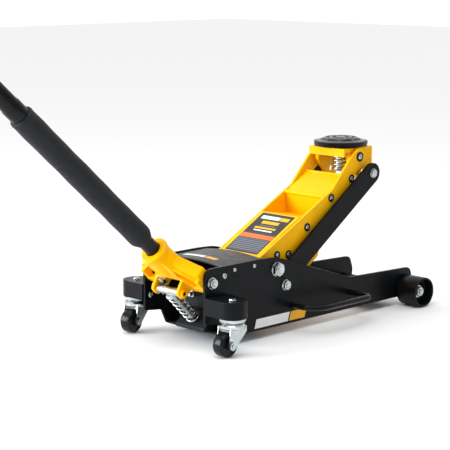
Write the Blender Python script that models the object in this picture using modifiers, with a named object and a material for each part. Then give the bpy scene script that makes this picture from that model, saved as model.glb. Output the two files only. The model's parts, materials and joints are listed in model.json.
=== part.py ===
"""Hydraulic floor jack with a long chassis, a parallelogram lift arm and a rocking pump handle.

Metres, +Z up. +X runs from the handle end to the saddle end, +Y is the jack's left side.
The origin is on the floor, under the middle of the overall length and on the centre line.
"""

import math

import bmesh
import bpy
from mathutils import Matrix, Vector

# ---------------------------------------------------------------- driving dimensions

GAP = 0.0003  # between pieces that rest on each other, and around a running fit
ROUND = 28  # sides of an ordinary round piece
SMALL_ROUND = 16  # sides of a bolt or a pin

# Side plates
PLATE_THICKNESS = 0.006
PLATE_OUTER = 0.0915
PLATE_INNER = PLATE_OUTER - PLATE_THICKNESS
CHASSIS_BOTTOM = 0.018
CHASSIS_TOP = 0.165
BOTTOM_PLATE_TOP = 0.0225
CHASSIS_REAR = 0.099
CHASSIS_FRONT = 0.743

# Pivots in the side view, as (x, z)
MAIN_PIVOT = Vector((0.300, 0.138))
LINK_PIVOT = Vector((0.3265, 0.1012))
SOCKET_PIVOT = Vector((0.117, 0.136))
FRONT_AXLE = Vector((0.715, 0.033))

# Lift arm
ARM_LENGTH = 0.3525
ARM_ANGLE = math.radians(34.8)
ARM_OUTER = 0.062
ARM_INNER = 0.056
ARM_DIRECTION = Vector((math.cos(ARM_ANGLE), math.sin(ARM_ANGLE)))
ARM_UPWARD = Vector((-math.sin(ARM_ANGLE), math.cos(ARM_ANGLE)))
HEAD_PIVOT = MAIN_PIVOT + ARM_DIRECTION * ARM_LENGTH
HEAD_LINK_PIVOT = HEAD_PIVOT + LINK_PIVOT - MAIN_PIVOT
COVER_HALF_WIDTH = ARM_INNER - 0.0005
COVER_THICKNESS = 0.004
PIVOT_SHAFT_RADIUS = 0.011
LINK_PIN_RADIUS = 0.0072
SOCKET_PIN_RADIUS = 0.0075
HEAD_PIN_RADIUS = 0.0078

# The ram pushes a pin that hangs below the main pivot, square to it near mid travel
RAM_LEVER = 0.055
RAM_LEVER_LEAN = math.radians(4.0)
RAM_PIN = MAIN_PIVOT + Vector((math.sin(RAM_LEVER_LEAN), -math.cos(RAM_LEVER_LEAN))) * RAM_LEVER
RAM_PIN_RADIUS = 0.007
RAM_PIN_PLAY = 0.0016
RAM_Z = 0.086
RAM_RADIUS = 0.014
RAM_LENGTH = 0.077
CROSSHEAD_HALF_WIDTH = 0.030
CROSSHEAD_HALF_HEIGHT = 0.016

# Power unit
BLOCK_REAR = 0.160
BLOCK_FRONT = 0.205
BLOCK_TOP = 0.118
BLOCK_HALF_WIDTH = 0.042
VALVE_Z = 0.096

# Parallel links
LINK_INNER = 0.070
LINK_OUTER = 0.078
LINK_HALF_WIDTH = 0.022

# Saddle
SADDLE_X = HEAD_PIVOT.x + 0.0082
SADDLE_RADIUS = 0.059
HEAD_TOP = 0.3573
HEAD_REAR = 0.551
HEAD_FRONT = 0.644
HEAD_HALF_WIDTH = 0.0505
SADDLE_RIM = 0.369
SADDLE_TOP = 0.3775

# Handle, measured from the socket pivot along the handle
HANDLE_ANGLE = math.radians(42.3)
HANDLE_ALONG = Vector((-math.cos(HANDLE_ANGLE), math.sin(HANDLE_ANGLE)))
HANDLE_BELOW = Vector((-math.sin(HANDLE_ANGLE), -math.cos(HANDLE_ANGLE)))
HANDLE_LENGTH = 1.1505
LOWER_TUBE_START = 0.035
LOWER_TUBE_END = 0.600
LOWER_TUBE_RADIUS = 0.0157
SLEEVE_START = 0.130
SLEEVE_END = 0.520
SLEEVE_RADIUS = 0.024
UPPER_TUBE_RADIUS = 0.018
GRIP_START = 1.020
GRIP_RADIUS = 0.021

# Pump, along a line that slopes down and forward under the socket's roller
PUMP_ROLLER = Vector((0.088, 0.112))
PUMP_SEAT = Vector((0.156, 0.043))
PUMP_ALONG = (PUMP_SEAT - PUMP_ROLLER).normalized()
PUMP_SPAN = (PUMP_SEAT - PUMP_ROLLER).length
PUMP_ROLLER_RADIUS = 0.008
PUMP_ROLLER_HALF_WIDTH = 0.0315
ROLLER_PIN_RADIUS = 0.0040
LUG_INNER = 0.0325
LUG_OUTER = 0.0400
LOCK_BOLT_Y = 0.0225
LOCK_BOSS_RADIUS = 0.0112
LOCK_BOSS_BELOW = 0.0212
PLUNGER_RADIUS = 0.005
PLUNGER_PLAY = 0.0004  # between the roller and the plunger's head
PLUNGER_HEAD_RADIUS = 0.0145
SPRING_RADIUS = 0.0122
SPRING_WIRE_RADIUS = 0.0019
SPRING_TURNS = 6

# Casters, each turning about an upright king pin outside its side plate
CASTER_X = 0.1245
CASTER_Y = 0.141
CASTER_TRAIL = 0.0198
CASTER_WHEEL_RADIUS = 0.0245
CASTER_WHEEL_HALF_WIDTH = 0.0128
CASTER_LEG_MIDDLE = 0.0168
CASTER_LEG_THICKNESS = 0.0025
CASTER_TURN = {"right": 0.0, "left": math.radians(13.0)}
BRACKET_BOTTOM = 0.075
BRACKET_TOP = 0.109

# Front rollers
ROLLER_RADIUS = 0.033
ROLLER_INNER = 0.094
ROLLER_OUTER = 0.1484
AXLE_RADIUS = 0.0097
AXLE_END = 0.134

# Carry handles
CARRY_BAR_RADIUS = 0.006
CARRY_Z = 0.056
CARRY_REAR = 0.344
CARRY_FRONT = 0.522
CARRY_OUTER = 0.159
CARRY_REAR_BEND = 0.042
CARRY_FRONT_BEND = 0.018

SIDES = (("right", -1), ("left", 1))

PAINTS = {
    "yellow_paint": ((0.95, 0.56, 0.01, 1.0), 0.35, 0.0),
    "black_paint": ((0.02, 0.021, 0.023, 1.0), 0.45, 0.0),
    "zinc": ((0.66, 0.66, 0.64, 1.0), 0.35, 1.0),
    "steel": ((0.5, 0.5, 0.5, 1.0), 0.3, 1.0),
    "cast_grey": ((0.12, 0.12, 0.12, 1.0), 0.6, 0.6),
    "foam": ((0.045, 0.047, 0.052, 1.0), 0.85, 0.0),
    "black_rubber": ((0.02, 0.02, 0.02, 1.0), 0.7, 0.0),
    "black_plastic": ((0.015, 0.015, 0.015, 1.0), 0.4, 0.0),
}

# ---------------------------------------------------------------- scene helpers


def clear_scene():
    for old in list(bpy.data.objects):
        bpy.data.objects.remove(old, do_unlink=True)


def new_collection(name):
    collection = bpy.data.collections.new(name)
    bpy.context.scene.collection.children.link(collection)
    return collection


clear_scene()
PARTS = new_collection("hydraulic_floor_jack")
CUTTERS = new_collection("cutters")
MATERIALS = {}


def material(slot):
    """The slot's Principled material, made on first use."""
    if slot not in MATERIALS:
        color, roughness, metallic = PAINTS[slot]
        made = bpy.data.materials.new(slot)
        made.use_nodes = True
        shader = made.node_tree.nodes["Principled BSDF"]
        shader.inputs["Base Color"].default_value = color
        shader.inputs["Roughness"].default_value = roughness
        shader.inputs["Metallic"].default_value = metallic
        MATERIALS[slot] = made
    return MATERIALS[slot]


def new_object(name, mesh, slot):
    made = bpy.data.objects.new(name, mesh)
    mesh.materials.clear()
    mesh.materials.append(material(slot))
    PARTS.objects.link(made)
    return made


def joint_empty(name, location):
    """An empty on a joint's axis, the parent of the pieces that turn or slide there."""
    empty = bpy.data.objects.new(name, None)
    empty.location = location
    PARTS.objects.link(empty)
    return empty


def ride(empty, pieces):
    for piece in pieces:
        piece.parent = empty
        piece.matrix_parent_inverse = Matrix.Translation(empty.location).inverted()


def side_point(point, y=0.0):
    """A side-view point (x, z) in space."""
    return Vector((point.x, y, point.y))


def on_arm(along, above):
    """A side-view point from its distances along the arm and above the line between its pivots."""
    return MAIN_PIVOT + ARM_DIRECTION * along + ARM_UPWARD * above


def on_handle(along, below=0.0):
    """A side-view point from its distances along the handle and below its centre line."""
    return SOCKET_PIVOT + HANDLE_ALONG * along + HANDLE_BELOW * below


# ---------------------------------------------------------------- shape helpers


def box(name, low, high, slot):
    mesh = bpy.data.meshes.new(name)
    low, high = Vector(low), Vector(high)
    size = high - low
    place = Matrix.Translation((low + high) / 2) @ Matrix.Diagonal((*size, 1.0))
    cube = bmesh.new()
    bmesh.ops.create_cube(cube, size=1.0, matrix=place)
    cube.to_mesh(mesh)
    cube.free()
    return new_object(name, mesh, slot)


def circle(centre, radius, sides=ROUND):
    """Points of a circle around a 2D centre."""
    steps = [2 * math.pi * n / sides for n in range(sides)]
    return [Vector((centre.x + radius * math.cos(a), centre.y + radius * math.sin(a))) for a in steps]


def rounded(corners, steps=5):
    """An outline through (x, y, radius) corners, each turned into an arc of its own radius."""
    points = []
    count = len(corners)
    for n, (x, y, radius) in enumerate(corners):
        here = Vector((x, y))
        back = (Vector(corners[n - 1][:2]) - here).normalized()
        ahead = (Vector(corners[(n + 1) % count][:2]) - here).normalized()
        half = math.acos(max(-1.0, min(1.0, back.dot(ahead)))) / 2
        if radius == 0.0 or half > math.radians(88.0):
            points.append(here)
            continue
        middle = here + (back + ahead).normalized() * radius / math.sin(half)
        first = here + back * radius / math.tan(half) - middle
        last = here + ahead * radius / math.tan(half) - middle
        sweep = first.angle_signed(last)
        for step in range(steps + 1):
            turned_by = -sweep * step / steps
            points.append(middle + Matrix.Rotation(turned_by, 2) @ first)
    return points


def folded_sheet(path, thickness):
    """The closed outline of a sheet of even thickness that lies under an open 2D path."""
    under = []
    for n, point in enumerate(path):
        before = (point - path[n - 1]).normalized() if n else None
        after = (path[n + 1] - point).normalized() if n + 1 < len(path) else None
        runs = [run for run in (before, after) if run]
        normals = [Vector((run.y, -run.x)) for run in runs]
        mean = sum(normals, Vector((0.0, 0.0))).normalized()
        under.append(point + mean * thickness / mean.dot(normals[0]))
    return list(path) + under[::-1]


VIEWS = {
    "side": Matrix(((1, 0, 0), (0, 0, -1), (0, 1, 0))),
    "top": Matrix.Identity(3),
    "end": Matrix(((0, 0, 1), (1, 0, 0), (0, 1, 0))),
}
DEPTH_AXIS = {"side": 1, "top": 2, "end": 0}


def extruded(name, loops, view, low, high, slot):
    """Flat loops drawn in the side (x, z), top (x, y) or end (y, z) view, extruded from low to high."""
    curve = bpy.data.curves.new(name, "CURVE")
    curve.dimensions = "2D"
    curve.fill_mode = "BOTH"
    curve.extrude = (high - low) / 2
    for loop in loops:
        spline = curve.splines.new("POLY")
        spline.points.add(len(loop) - 1)
        for target, point in zip(spline.points, loop):
            target.co = (point.x, point.y, 0.0, 1.0)
        spline.use_cyclic_u = True
    drawn = bpy.data.objects.new(name, curve)
    place = VIEWS[view].to_4x4()
    place[DEPTH_AXIS[view]][3] = (low + high) / 2
    drawn.matrix_world = place
    return curve_to_mesh(drawn, name, slot)


def curve_to_mesh(drawn, name, slot):
    """A mesh object with the shape and place of a curve object, its caps welded on."""
    PARTS.objects.link(drawn)
    place = drawn.matrix_world.copy()
    bpy.context.view_layer.update()
    evaluated = drawn.evaluated_get(bpy.context.evaluated_depsgraph_get())
    mesh = bpy.data.meshes.new_from_object(evaluated)
    bpy.data.objects.remove(drawn, do_unlink=True)
    welded = bmesh.new()
    welded.from_mesh(mesh)
    bmesh.ops.remove_doubles(welded, verts=welded.verts, dist=0.00001)
    bmesh.ops.recalc_face_normals(welded, faces=welded.faces)
    welded.to_mesh(mesh)
    welded.free()
    made = new_object(name, mesh, slot)
    made.matrix_world = place
    return made


def bar(name, points, radius, slot, sides=2):
    """A round bar along a line of points."""
    curve = bpy.data.curves.new(name, "CURVE")
    curve.dimensions = "3D"
    curve.bevel_depth = radius
    curve.bevel_resolution = sides
    curve.use_fill_caps = True
    spline = curve.splines.new("POLY")
    spline.points.add(len(points) - 1)
    for target, point in zip(spline.points, points):
        target.co = (*point, 1.0)
    drawn = bpy.data.objects.new(name, curve)
    made = curve_to_mesh(drawn, name, slot)
    made.data.shade_smooth()
    return made


def turned(name, profile, start, along, slot, sides=ROUND):
    """A turned piece. The profile holds (radius, distance) pairs, with the distance measured from
    start along the given direction. It begins at the far end and comes back along the outside. A
    profile that begins on the axis is solid there, and any other closes round a bore."""
    mesh = bpy.data.meshes.new(name)
    bored = profile[0][0] > 0.0
    edges = [(n, n + 1) for n in range(len(profile) - 1)]
    if bored:
        edges.append((len(profile) - 1, 0))
    mesh.from_pydata([(radius, 0.0, distance) for radius, distance in profile], edges, [])
    made = new_object(name, mesh, slot)
    direction = Vector(along)
    made.matrix_world = Matrix.Translation(start) @ direction.to_track_quat("Z", "Y").to_matrix().to_4x4()
    screw = made.modifiers.new("turn", "SCREW")
    screw.axis = "Z"
    screw.angle = 2 * math.pi
    screw.steps = sides
    screw.render_steps = sides
    screw.use_merge_vertices = True
    screw.merge_threshold = 0.00001
    screw.use_smooth_shade = True
    return made


def rod(name, start, along, length, radius, slot, sides=SMALL_ROUND):
    profile = [(0.0, length), (radius, length), (radius, 0.0), (0.0, 0.0)]
    return turned(name, profile, start, along, slot, sides)


def ring(name, start, along, length, radius, bore, slot, sides=ROUND):
    profile = [(radius, length), (radius, 0.0), (bore, 0.0), (bore, length)]
    return turned(name, profile, start, along, slot, sides)


def combine(base, others, operation):
    """Joins others to base, or cuts them from it, with exact Booleans."""
    for other in others:
        step = base.modifiers.new(other.name, "BOOLEAN")
        step.operation = operation
        step.solver = "EXACT"
        step.object = other
        PARTS.objects.unlink(other)
        CUTTERS.objects.link(other)
        other.hide_render = True
        other.display_type = "WIRE"
    return base


def join(base, others):
    return combine(base, others, "UNION")


def cut(base, others):
    return combine(base, others, "DIFFERENCE")


# ---------------------------------------------------------------- frame


def side_plate_outline():
    """The chassis side: deep at the handle end, falling to a low nose around the front axle."""
    return rounded(
        [
            (CHASSIS_REAR, 0.055, 0.004),
            (0.145, 0.050, 0.006),
            (0.160, CHASSIS_BOTTOM, 0.008),
            (CHASSIS_FRONT - 0.004, CHASSIS_BOTTOM, 0.016),
            (CHASSIS_FRONT, 0.050, 0.030),
            (0.733, 0.0800, 0.016),
            (0.580, 0.0856, 0.050),
            (0.530, 0.0870, 0.080),
            (0.402, 0.1286, 0.200),
            (0.300, CHASSIS_TOP - 0.002, 0.150),
            (0.246, CHASSIS_TOP, 0.100),
            (CHASSIS_REAR, CHASSIS_TOP, 0.018),
        ]
    )


def build_side_plates():
    holes = [
        circle(FRONT_AXLE, AXLE_RADIUS + GAP, SMALL_ROUND),
        circle(MAIN_PIVOT, PIVOT_SHAFT_RADIUS + GAP, SMALL_ROUND),
        circle(LINK_PIVOT, LINK_PIN_RADIUS + GAP, SMALL_ROUND),
        circle(SOCKET_PIVOT, SOCKET_PIN_RADIUS + GAP, SMALL_ROUND),
    ]
    loops = [side_plate_outline()] + holes
    extruded("side_plate_right", loops, "side", -PLATE_OUTER, -PLATE_INNER, "black_paint")
    extruded("side_plate_left", loops, "side", PLATE_INNER, PLATE_OUTER, "black_paint")


def build_cross_plates():
    reach = PLATE_INNER - GAP
    low = (0.162, -reach, CHASSIS_BOTTOM)
    box("rear_bottom_plate", low, (0.300, reach, BOTTOM_PLATE_TOP), "black_paint")
    box("front_cross_plate", (0.600, -reach, 0.026), (0.690, reach, 0.031), "black_paint")


def build_top_cover():
    """A sheet that is slightly domed from side to side and folds down at its rear edge."""
    reach = PLATE_INNER - GAP
    dome = 0.006
    steps = 10
    arch = []
    for n in range(steps + 1):
        y = reach * (1 - 2 * n / steps)
        arch.append(Vector((-y, CHASSIS_TOP - 0.003 + dome * math.cos(math.pi * y / (2 * reach)))))
    sheet = folded_sheet(arch, 0.003)
    extruded("top_cover", [sheet], "end", 0.150, 0.268, "black_paint")


def build_front_axle():
    rod("front_axle", side_point(FRONT_AXLE, -AXLE_END), (0, 1, 0), 2 * AXLE_END, AXLE_RADIUS, "steel", 24)


def build_carry_handles():
    """A bent round bar on each side, welded by its ends to the side plate."""
    for side, sign in SIDES:
        inner = PLATE_OUTER + GAP
        path = rounded(
            [
                (CARRY_REAR, inner, 0.0),
                (CARRY_REAR, CARRY_OUTER, CARRY_REAR_BEND),
                (CARRY_FRONT, CARRY_OUTER, CARRY_FRONT_BEND),
                (CARRY_FRONT, inner, 0.0),
            ]
        )
        points = [(point.x, sign * point.y, CARRY_Z) for point in path]
        bar("carry_handle_" + side, points, CARRY_BAR_RADIUS, "black_paint", 3)


def build_pivots():
    nut_height = 0.0095
    shaft_end = PLATE_OUTER + nut_height + 0.0025
    rod(
        "main_pivot_shaft",
        (MAIN_PIVOT.x, -shaft_end, MAIN_PIVOT.y),
        (0, 1, 0),
        2 * shaft_end,
        PIVOT_SHAFT_RADIUS,
        "zinc",
        SMALL_ROUND,
    )
    for side, sign in SIDES:
        outward = (0, sign, 0)
        face = sign * (PLATE_OUTER + GAP)
        nut_loops = [
            circle(MAIN_PIVOT, 0.0150, 6),
            circle(MAIN_PIVOT, PIVOT_SHAFT_RADIUS + GAP, SMALL_ROUND),
        ]
        low, high = sorted((face, face + sign * nut_height))
        extruded("main_pivot_nut_" + side, nut_loops, "side", low, high, "zinc")
        link_bolt = "link_pivot_bolt_" + side
        headed_bolt(link_bolt, LINK_PIVOT, face, outward, LINK_PIN_RADIUS, 0.0235, 0.0093, 0.006)
        socket_bolt = "socket_pivot_bolt_" + side
        headed_bolt(socket_bolt, SOCKET_PIVOT, face, outward, SOCKET_PIN_RADIUS, 0.031, 0.0102, 0.006)


def headed_bolt(name, point, y, outward, shank, length, head, head_height):
    """A bolt with a round head that sits on the face at y, its shank running inward."""
    profile = [
        (0.0, head_height),
        (head * 0.86, head_height),
        (head, head_height * 0.7),
        (head, 0.0),
        (shank, 0.0),
        (shank, -length),
        (0.0, -length),
    ]
    return turned(name, profile, side_point(point, y), outward, "zinc", SMALL_ROUND)


def build_caster_brackets():
    """A stiff pocketed bracket outside each side plate, round about the caster's king pin."""
    outer = 0.0280
    wall = 0.005
    for side, sign in SIDES:
        inner = PLATE_OUTER + GAP
        corners = [
            (CASTER_X - outer, sign * inner, 0.0),
            (CASTER_X + 0.036, sign * inner, 0.0),
            (CASTER_X + outer, sign * (CASTER_Y + outer), outer * 0.98),
            (CASTER_X - outer, sign * (CASTER_Y + outer), outer * 0.98),
        ]
        pocket = [
            (CASTER_X - outer + wall, sign * (inner + wall), 0.0),
            (CASTER_X + outer - wall, sign * (inner + wall), 0.0),
            (CASTER_X + outer - wall, sign * (CASTER_Y + outer - wall), outer * 0.7),
            (CASTER_X - outer + wall, sign * (CASTER_Y + outer - wall), outer * 0.7),
        ]
        name = "caster_bracket_" + side
        bracket = extruded(name, [rounded(corners)], "top", BRACKET_BOTTOM, BRACKET_TOP, "black_paint")
        pocket_low, pocket_high = BRACKET_BOTTOM - 0.01, BRACKET_TOP - 0.006
        hollow = extruded(name + "_pocket", [rounded(pocket)], "top", pocket_low, pocket_high, "black_paint")
        hole = rod(name + "_hole", (CASTER_X, sign * CASTER_Y, 0.05), (0, 0, 1), 0.1, 0.0058, "black_paint")
        cut(bracket, [hollow, hole])


# ---------------------------------------------------------------- hydraulics


def build_power_unit():
    """The cast block that holds the pump, the release valve and the ram's cylinder."""
    across = Vector((-PUMP_ALONG.y, PUMP_ALONG.x))
    seat_low = PUMP_SEAT - across * 0.018
    seat_high = PUMP_SEAT + across * 0.018
    floor = BOTTOM_PLATE_TOP + GAP
    outline = [
        Vector((seat_low.x, floor)),
        Vector((BLOCK_FRONT, floor)),
        Vector((BLOCK_FRONT, BLOCK_TOP)),
        Vector((BLOCK_REAR, BLOCK_TOP)),
        Vector((BLOCK_REAR, 0.068)),
        seat_high,
        seat_low,
    ]
    block = extruded("power_unit_block", [outline], "side", -BLOCK_HALF_WIDTH, BLOCK_HALF_WIDTH, "cast_grey")
    ram_bore = rod("ram_bore", (0.1705, 0, RAM_Z), (1, 0, 0), 0.05, RAM_RADIUS + GAP, "cast_grey", 24)
    pump_start = side_point(PUMP_SEAT - PUMP_ALONG * 0.01)
    pump_bore = rod("pump_bore", pump_start, side_point(PUMP_ALONG), 0.026, PLUNGER_RADIUS + GAP, "cast_grey")
    cut(block, [ram_bore, pump_bore])
    reservoir_start = (BLOCK_FRONT + GAP, 0, RAM_Z)
    ring("oil_reservoir", reservoir_start, (1, 0, 0), 0.0417, 0.030, RAM_RADIUS + GAP, "black_paint")
    valve_profile = [
        (0.0, 0.0195),
        (0.0045, 0.0195),
        (0.0045, 0.011),
        (0.0065, 0.011),
        (0.0065, 0.0),
        (0.0, 0.0),
    ]
    valve_start = (BLOCK_REAR - GAP, 0, VALVE_Z)
    valve = turned("release_valve_stem", valve_profile, valve_start, (-1, 0, 0), "zinc", SMALL_ROUND)
    ride(joint_empty("release_valve_axis", (BLOCK_REAR, 0, VALVE_Z)), [valve])


def build_ram():
    head_front = RAM_PIN.x - RAM_PIN_RADIUS - RAM_PIN_PLAY
    head_rear = head_front - 0.010
    rod_start = (head_rear - GAP, 0, RAM_Z)
    ram = rod("ram_rod", rod_start, (-1, 0, 0), RAM_LENGTH, RAM_RADIUS, "steel", 24)
    low = (head_rear, -CROSSHEAD_HALF_WIDTH, RAM_Z - CROSSHEAD_HALF_HEIGHT)
    high = (head_front, CROSSHEAD_HALF_WIDTH, RAM_Z + CROSSHEAD_HALF_HEIGHT)
    head = box("ram_crosshead", low, high, "steel")
    ride(joint_empty("ram_axis", (head_rear, 0, RAM_Z)), [ram, head])


def build_pump():
    """A plunger under the socket's roller, with its return spring standing on the power unit."""
    axis = side_point(PUMP_ALONG)
    head_face = PUMP_ROLLER_RADIUS + PLUNGER_PLAY
    head_under = head_face + 0.0045
    start = side_point(PUMP_ROLLER + PUMP_ALONG * head_face)
    profile = [
        (0.0, 0.087),
        (PLUNGER_RADIUS, 0.087),
        (PLUNGER_RADIUS, 0.0045),
        (PLUNGER_HEAD_RADIUS, 0.0045),
        (PLUNGER_HEAD_RADIUS, 0.001),
        (PLUNGER_HEAD_RADIUS - 0.001, 0.0),
        (0.0, 0.0),
    ]
    plunger = turned("pump_plunger", profile, start, axis, "steel", SMALL_ROUND)
    ride(joint_empty("pump_axis", start), [plunger])
    gland_length = 0.018
    gland_start = side_point(PUMP_SEAT - PUMP_ALONG * (gland_length + GAP))
    ring("pump_gland", gland_start, axis, gland_length, 0.0074, PLUNGER_RADIUS + GAP, "zinc", SMALL_ROUND)
    spring_low = head_under + SPRING_WIRE_RADIUS + GAP
    spring_high = PUMP_SPAN - SPRING_WIRE_RADIUS - GAP
    bar("pump_spring", coil(spring_low, spring_high), SPRING_WIRE_RADIUS, "zinc", 1)


def coil(low, high):
    """The pump spring's helix, between two distances from the roller along the pump's line."""
    per_turn = 10
    across = Vector((-PUMP_ALONG.y, PUMP_ALONG.x))
    points = []
    for n in range(SPRING_TURNS * per_turn + 1):
        angle = 2 * math.pi * n / per_turn
        distance = low + (high - low) * n / (SPRING_TURNS * per_turn)
        centre = PUMP_ROLLER + PUMP_ALONG * distance + across * SPRING_RADIUS * math.cos(angle)
        points.append(side_point(centre, SPRING_RADIUS * math.sin(angle)))
    return points


# ---------------------------------------------------------------- lift arm, links and saddle


def arm_plate_outline():
    """The arm's side in distances along and above its pivot line. The lug at its lower end holds the
    ram pin, the belly is deep where the arm bends most, and the tip is shallow so that the link pins
    can pass under it."""
    lug_along = (RAM_PIN - MAIN_PIVOT).dot(ARM_DIRECTION)
    lug_above = (RAM_PIN - MAIN_PIVOT).dot(ARM_UPWARD)
    corners = [
        (-0.0048, 0.0289, 0.003),
        (-0.0240, 0.0060, 0.010),
        (lug_along - 0.0165, lug_above + 0.008, 0.010),
        (lug_along - 0.0060, lug_above - 0.0170, 0.012),
        (lug_along + 0.0280, lug_above - 0.0120, 0.014),
        (0.0900, -0.0880, 0.020),
        (0.1290, -0.0895, 0.006),
        (0.1600, -0.0680, 0.010),
        (0.2850, -0.0450, 0.020),
        (0.3120, -0.0215, 0.014),
        (0.3700, -0.0215, 0.016),
        (0.3700, 0.0178, 0.015),
        (0.3236, 0.0146, 0.030),
        (0.2453, -0.0021, 0.030),
    ]
    return [on_arm(point.x, point.y) for point in rounded(corners)]


def build_arm_plates():
    holes = [
        circle(MAIN_PIVOT, PIVOT_SHAFT_RADIUS + GAP, SMALL_ROUND),
        circle(RAM_PIN, RAM_PIN_RADIUS + GAP, SMALL_ROUND),
        circle(HEAD_PIVOT, HEAD_PIN_RADIUS + GAP, SMALL_ROUND),
    ]
    loops = [arm_plate_outline()] + holes
    right = extruded("arm_plate_right", loops, "side", -ARM_OUTER, -ARM_INNER, "yellow_paint")
    left = extruded("arm_plate_left", loops, "side", ARM_INNER, ARM_OUTER, "yellow_paint")
    return [right, left]


def build_arm_covers():
    """Two folded sheets between the arm plates. The opening between them is left free."""
    lower_path = [on_arm(-0.0035, 0.0283), on_arm(0.1395, 0.0130), on_arm(0.1450, 0.0050)]
    lower = extruded(
        "arm_lower_cover",
        [folded_sheet(lower_path, COVER_THICKNESS)],
        "side",
        -COVER_HALF_WIDTH,
        COVER_HALF_WIDTH,
        "yellow_paint",
    )
    upper_path = [
        Vector((0.4900, 0.2120)),
        Vector((0.4845, 0.2350)),
        Vector((0.4815, 0.2590)),
        Vector((0.4855, 0.2655)),
        Vector((0.5480, 0.3025)),
        Vector((0.5520, 0.2960)),
    ]
    upper = extruded(
        "arm_upper_cover",
        [folded_sheet(upper_path, 0.003)],
        "side",
        -COVER_HALF_WIDTH,
        COVER_HALF_WIDTH,
        "yellow_paint",
    )
    return [lower, upper]


def build_arm_pins():
    half = ARM_INNER - GAP
    tube = ring(
        "arm_pivot_tube",
        side_point(MAIN_PIVOT, -half),
        (0, 1, 0),
        2 * half,
        0.017,
        PIVOT_SHAFT_RADIUS + GAP,
        "yellow_paint",
        24,
    )
    pin = rod("ram_pin", side_point(RAM_PIN, -ARM_OUTER), (0, 1, 0), 2 * ARM_OUTER, RAM_PIN_RADIUS, "steel")
    bolts = []
    for side, sign in SIDES:
        face = sign * (ARM_OUTER + GAP)
        outward = (0, sign, 0)
        name = "arm_head_bolt_" + side
        bolts.append(headed_bolt(name, HEAD_PIVOT, face, outward, HEAD_PIN_RADIUS, 0.0225, 0.0100, 0.004))
    return [tube, pin] + bolts


def build_lift_arm():
    pieces = build_arm_plates() + build_arm_covers() + build_arm_pins()
    ride(joint_empty("main_pivot_axis", side_point(MAIN_PIVOT)), pieces)


def build_links():
    """Flat bars with round ends, outside the arm plates, that keep the saddle head level."""
    corners = [
        (-LINK_HALF_WIDTH, -LINK_HALF_WIDTH, LINK_HALF_WIDTH * 0.995),
        (ARM_LENGTH + LINK_HALF_WIDTH, -LINK_HALF_WIDTH, LINK_HALF_WIDTH * 0.995),
        (ARM_LENGTH + LINK_HALF_WIDTH, LINK_HALF_WIDTH, LINK_HALF_WIDTH * 0.995),
        (-LINK_HALF_WIDTH, LINK_HALF_WIDTH, LINK_HALF_WIDTH * 0.995),
    ]
    outline = [LINK_PIVOT + ARM_DIRECTION * p.x + ARM_UPWARD * p.y for p in rounded(corners, 8)]
    holes = [
        circle(LINK_PIVOT, LINK_PIN_RADIUS + GAP, SMALL_ROUND),
        circle(HEAD_LINK_PIVOT, HEAD_PIN_RADIUS + GAP, SMALL_ROUND),
    ]
    for side, sign in SIDES:
        low, high = sorted((sign * LINK_INNER, sign * LINK_OUTER))
        link = extruded("link_" + side, [outline] + holes, "side", low, high, "black_paint")
        ride(joint_empty("link_axis_" + side, side_point(LINK_PIVOT, sign * LINK_INNER)), [link])


def build_saddle_head():
    """A casting with a flat top, a front wall and two cheeks that carry the arm and link pins."""
    top_under = HEAD_TOP - 0.009
    head = box(
        "saddle_head",
        (HEAD_REAR, -HEAD_HALF_WIDTH, top_under),
        (HEAD_FRONT, HEAD_HALF_WIDTH, HEAD_TOP),
        "yellow_paint",
    )
    front_wall = box(
        "head_front_wall",
        (HEAD_FRONT - 0.007, -HEAD_HALF_WIDTH, 0.318),
        (HEAD_FRONT, HEAD_HALF_WIDTH, HEAD_TOP - 0.002),
        "yellow_paint",
    )
    rear_lip = box(
        "head_rear_lip",
        (HEAD_REAR, -HEAD_HALF_WIDTH, 0.340),
        (HEAD_REAR + 0.006, HEAD_HALF_WIDTH, HEAD_TOP - 0.002),
        "yellow_paint",
    )
    cheek_corners = [
        (HEAD_PIVOT.x - 0.0190, HEAD_TOP - 0.003, 0.0),
        (HEAD_PIVOT.x - 0.0190, HEAD_PIVOT.y - 0.0130, 0.012),
        (HEAD_LINK_PIVOT.x - 0.0150, HEAD_LINK_PIVOT.y - 0.0150, 0.013),
        (HEAD_LINK_PIVOT.x + 0.0150, HEAD_LINK_PIVOT.y - 0.0150, 0.013),
        (HEAD_FRONT - 0.003, 0.3300, 0.010),
        (HEAD_FRONT - 0.003, HEAD_TOP - 0.003, 0.0),
    ]
    holes = [
        circle(HEAD_PIVOT, HEAD_PIN_RADIUS + GAP, SMALL_ROUND),
        circle(HEAD_LINK_PIVOT, HEAD_PIN_RADIUS + GAP, SMALL_ROUND),
    ]
    cheeks = []
    for side, sign in SIDES:
        low, high = sorted((sign * 0.0405, sign * (HEAD_HALF_WIDTH - 0.0005)))
        loops = [rounded(cheek_corners)] + holes
        cheeks.append(extruded("head_cheek_" + side, loops, "side", low, high, "yellow_paint"))
    stem_hole = rod("head_stem_hole", (SADDLE_X, 0, 0.34), (0, 0, 1), 0.03, 0.0133, "yellow_paint", 24)
    join(head, [front_wall, rear_lip] + cheeks)
    cut(head, [stem_hole])
    bolts = []
    for side, sign in SIDES:
        face = sign * (LINK_OUTER + GAP)
        outward = (0, sign, 0)
        name = "link_head_bolt_" + side
        bolts.append(headed_bolt(name, HEAD_LINK_PIVOT, face, outward, HEAD_PIN_RADIUS, 0.038, 0.0090, 0.004))
    ride(joint_empty("head_axis", side_point(HEAD_PIVOT)), [head] + bolts)


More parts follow.
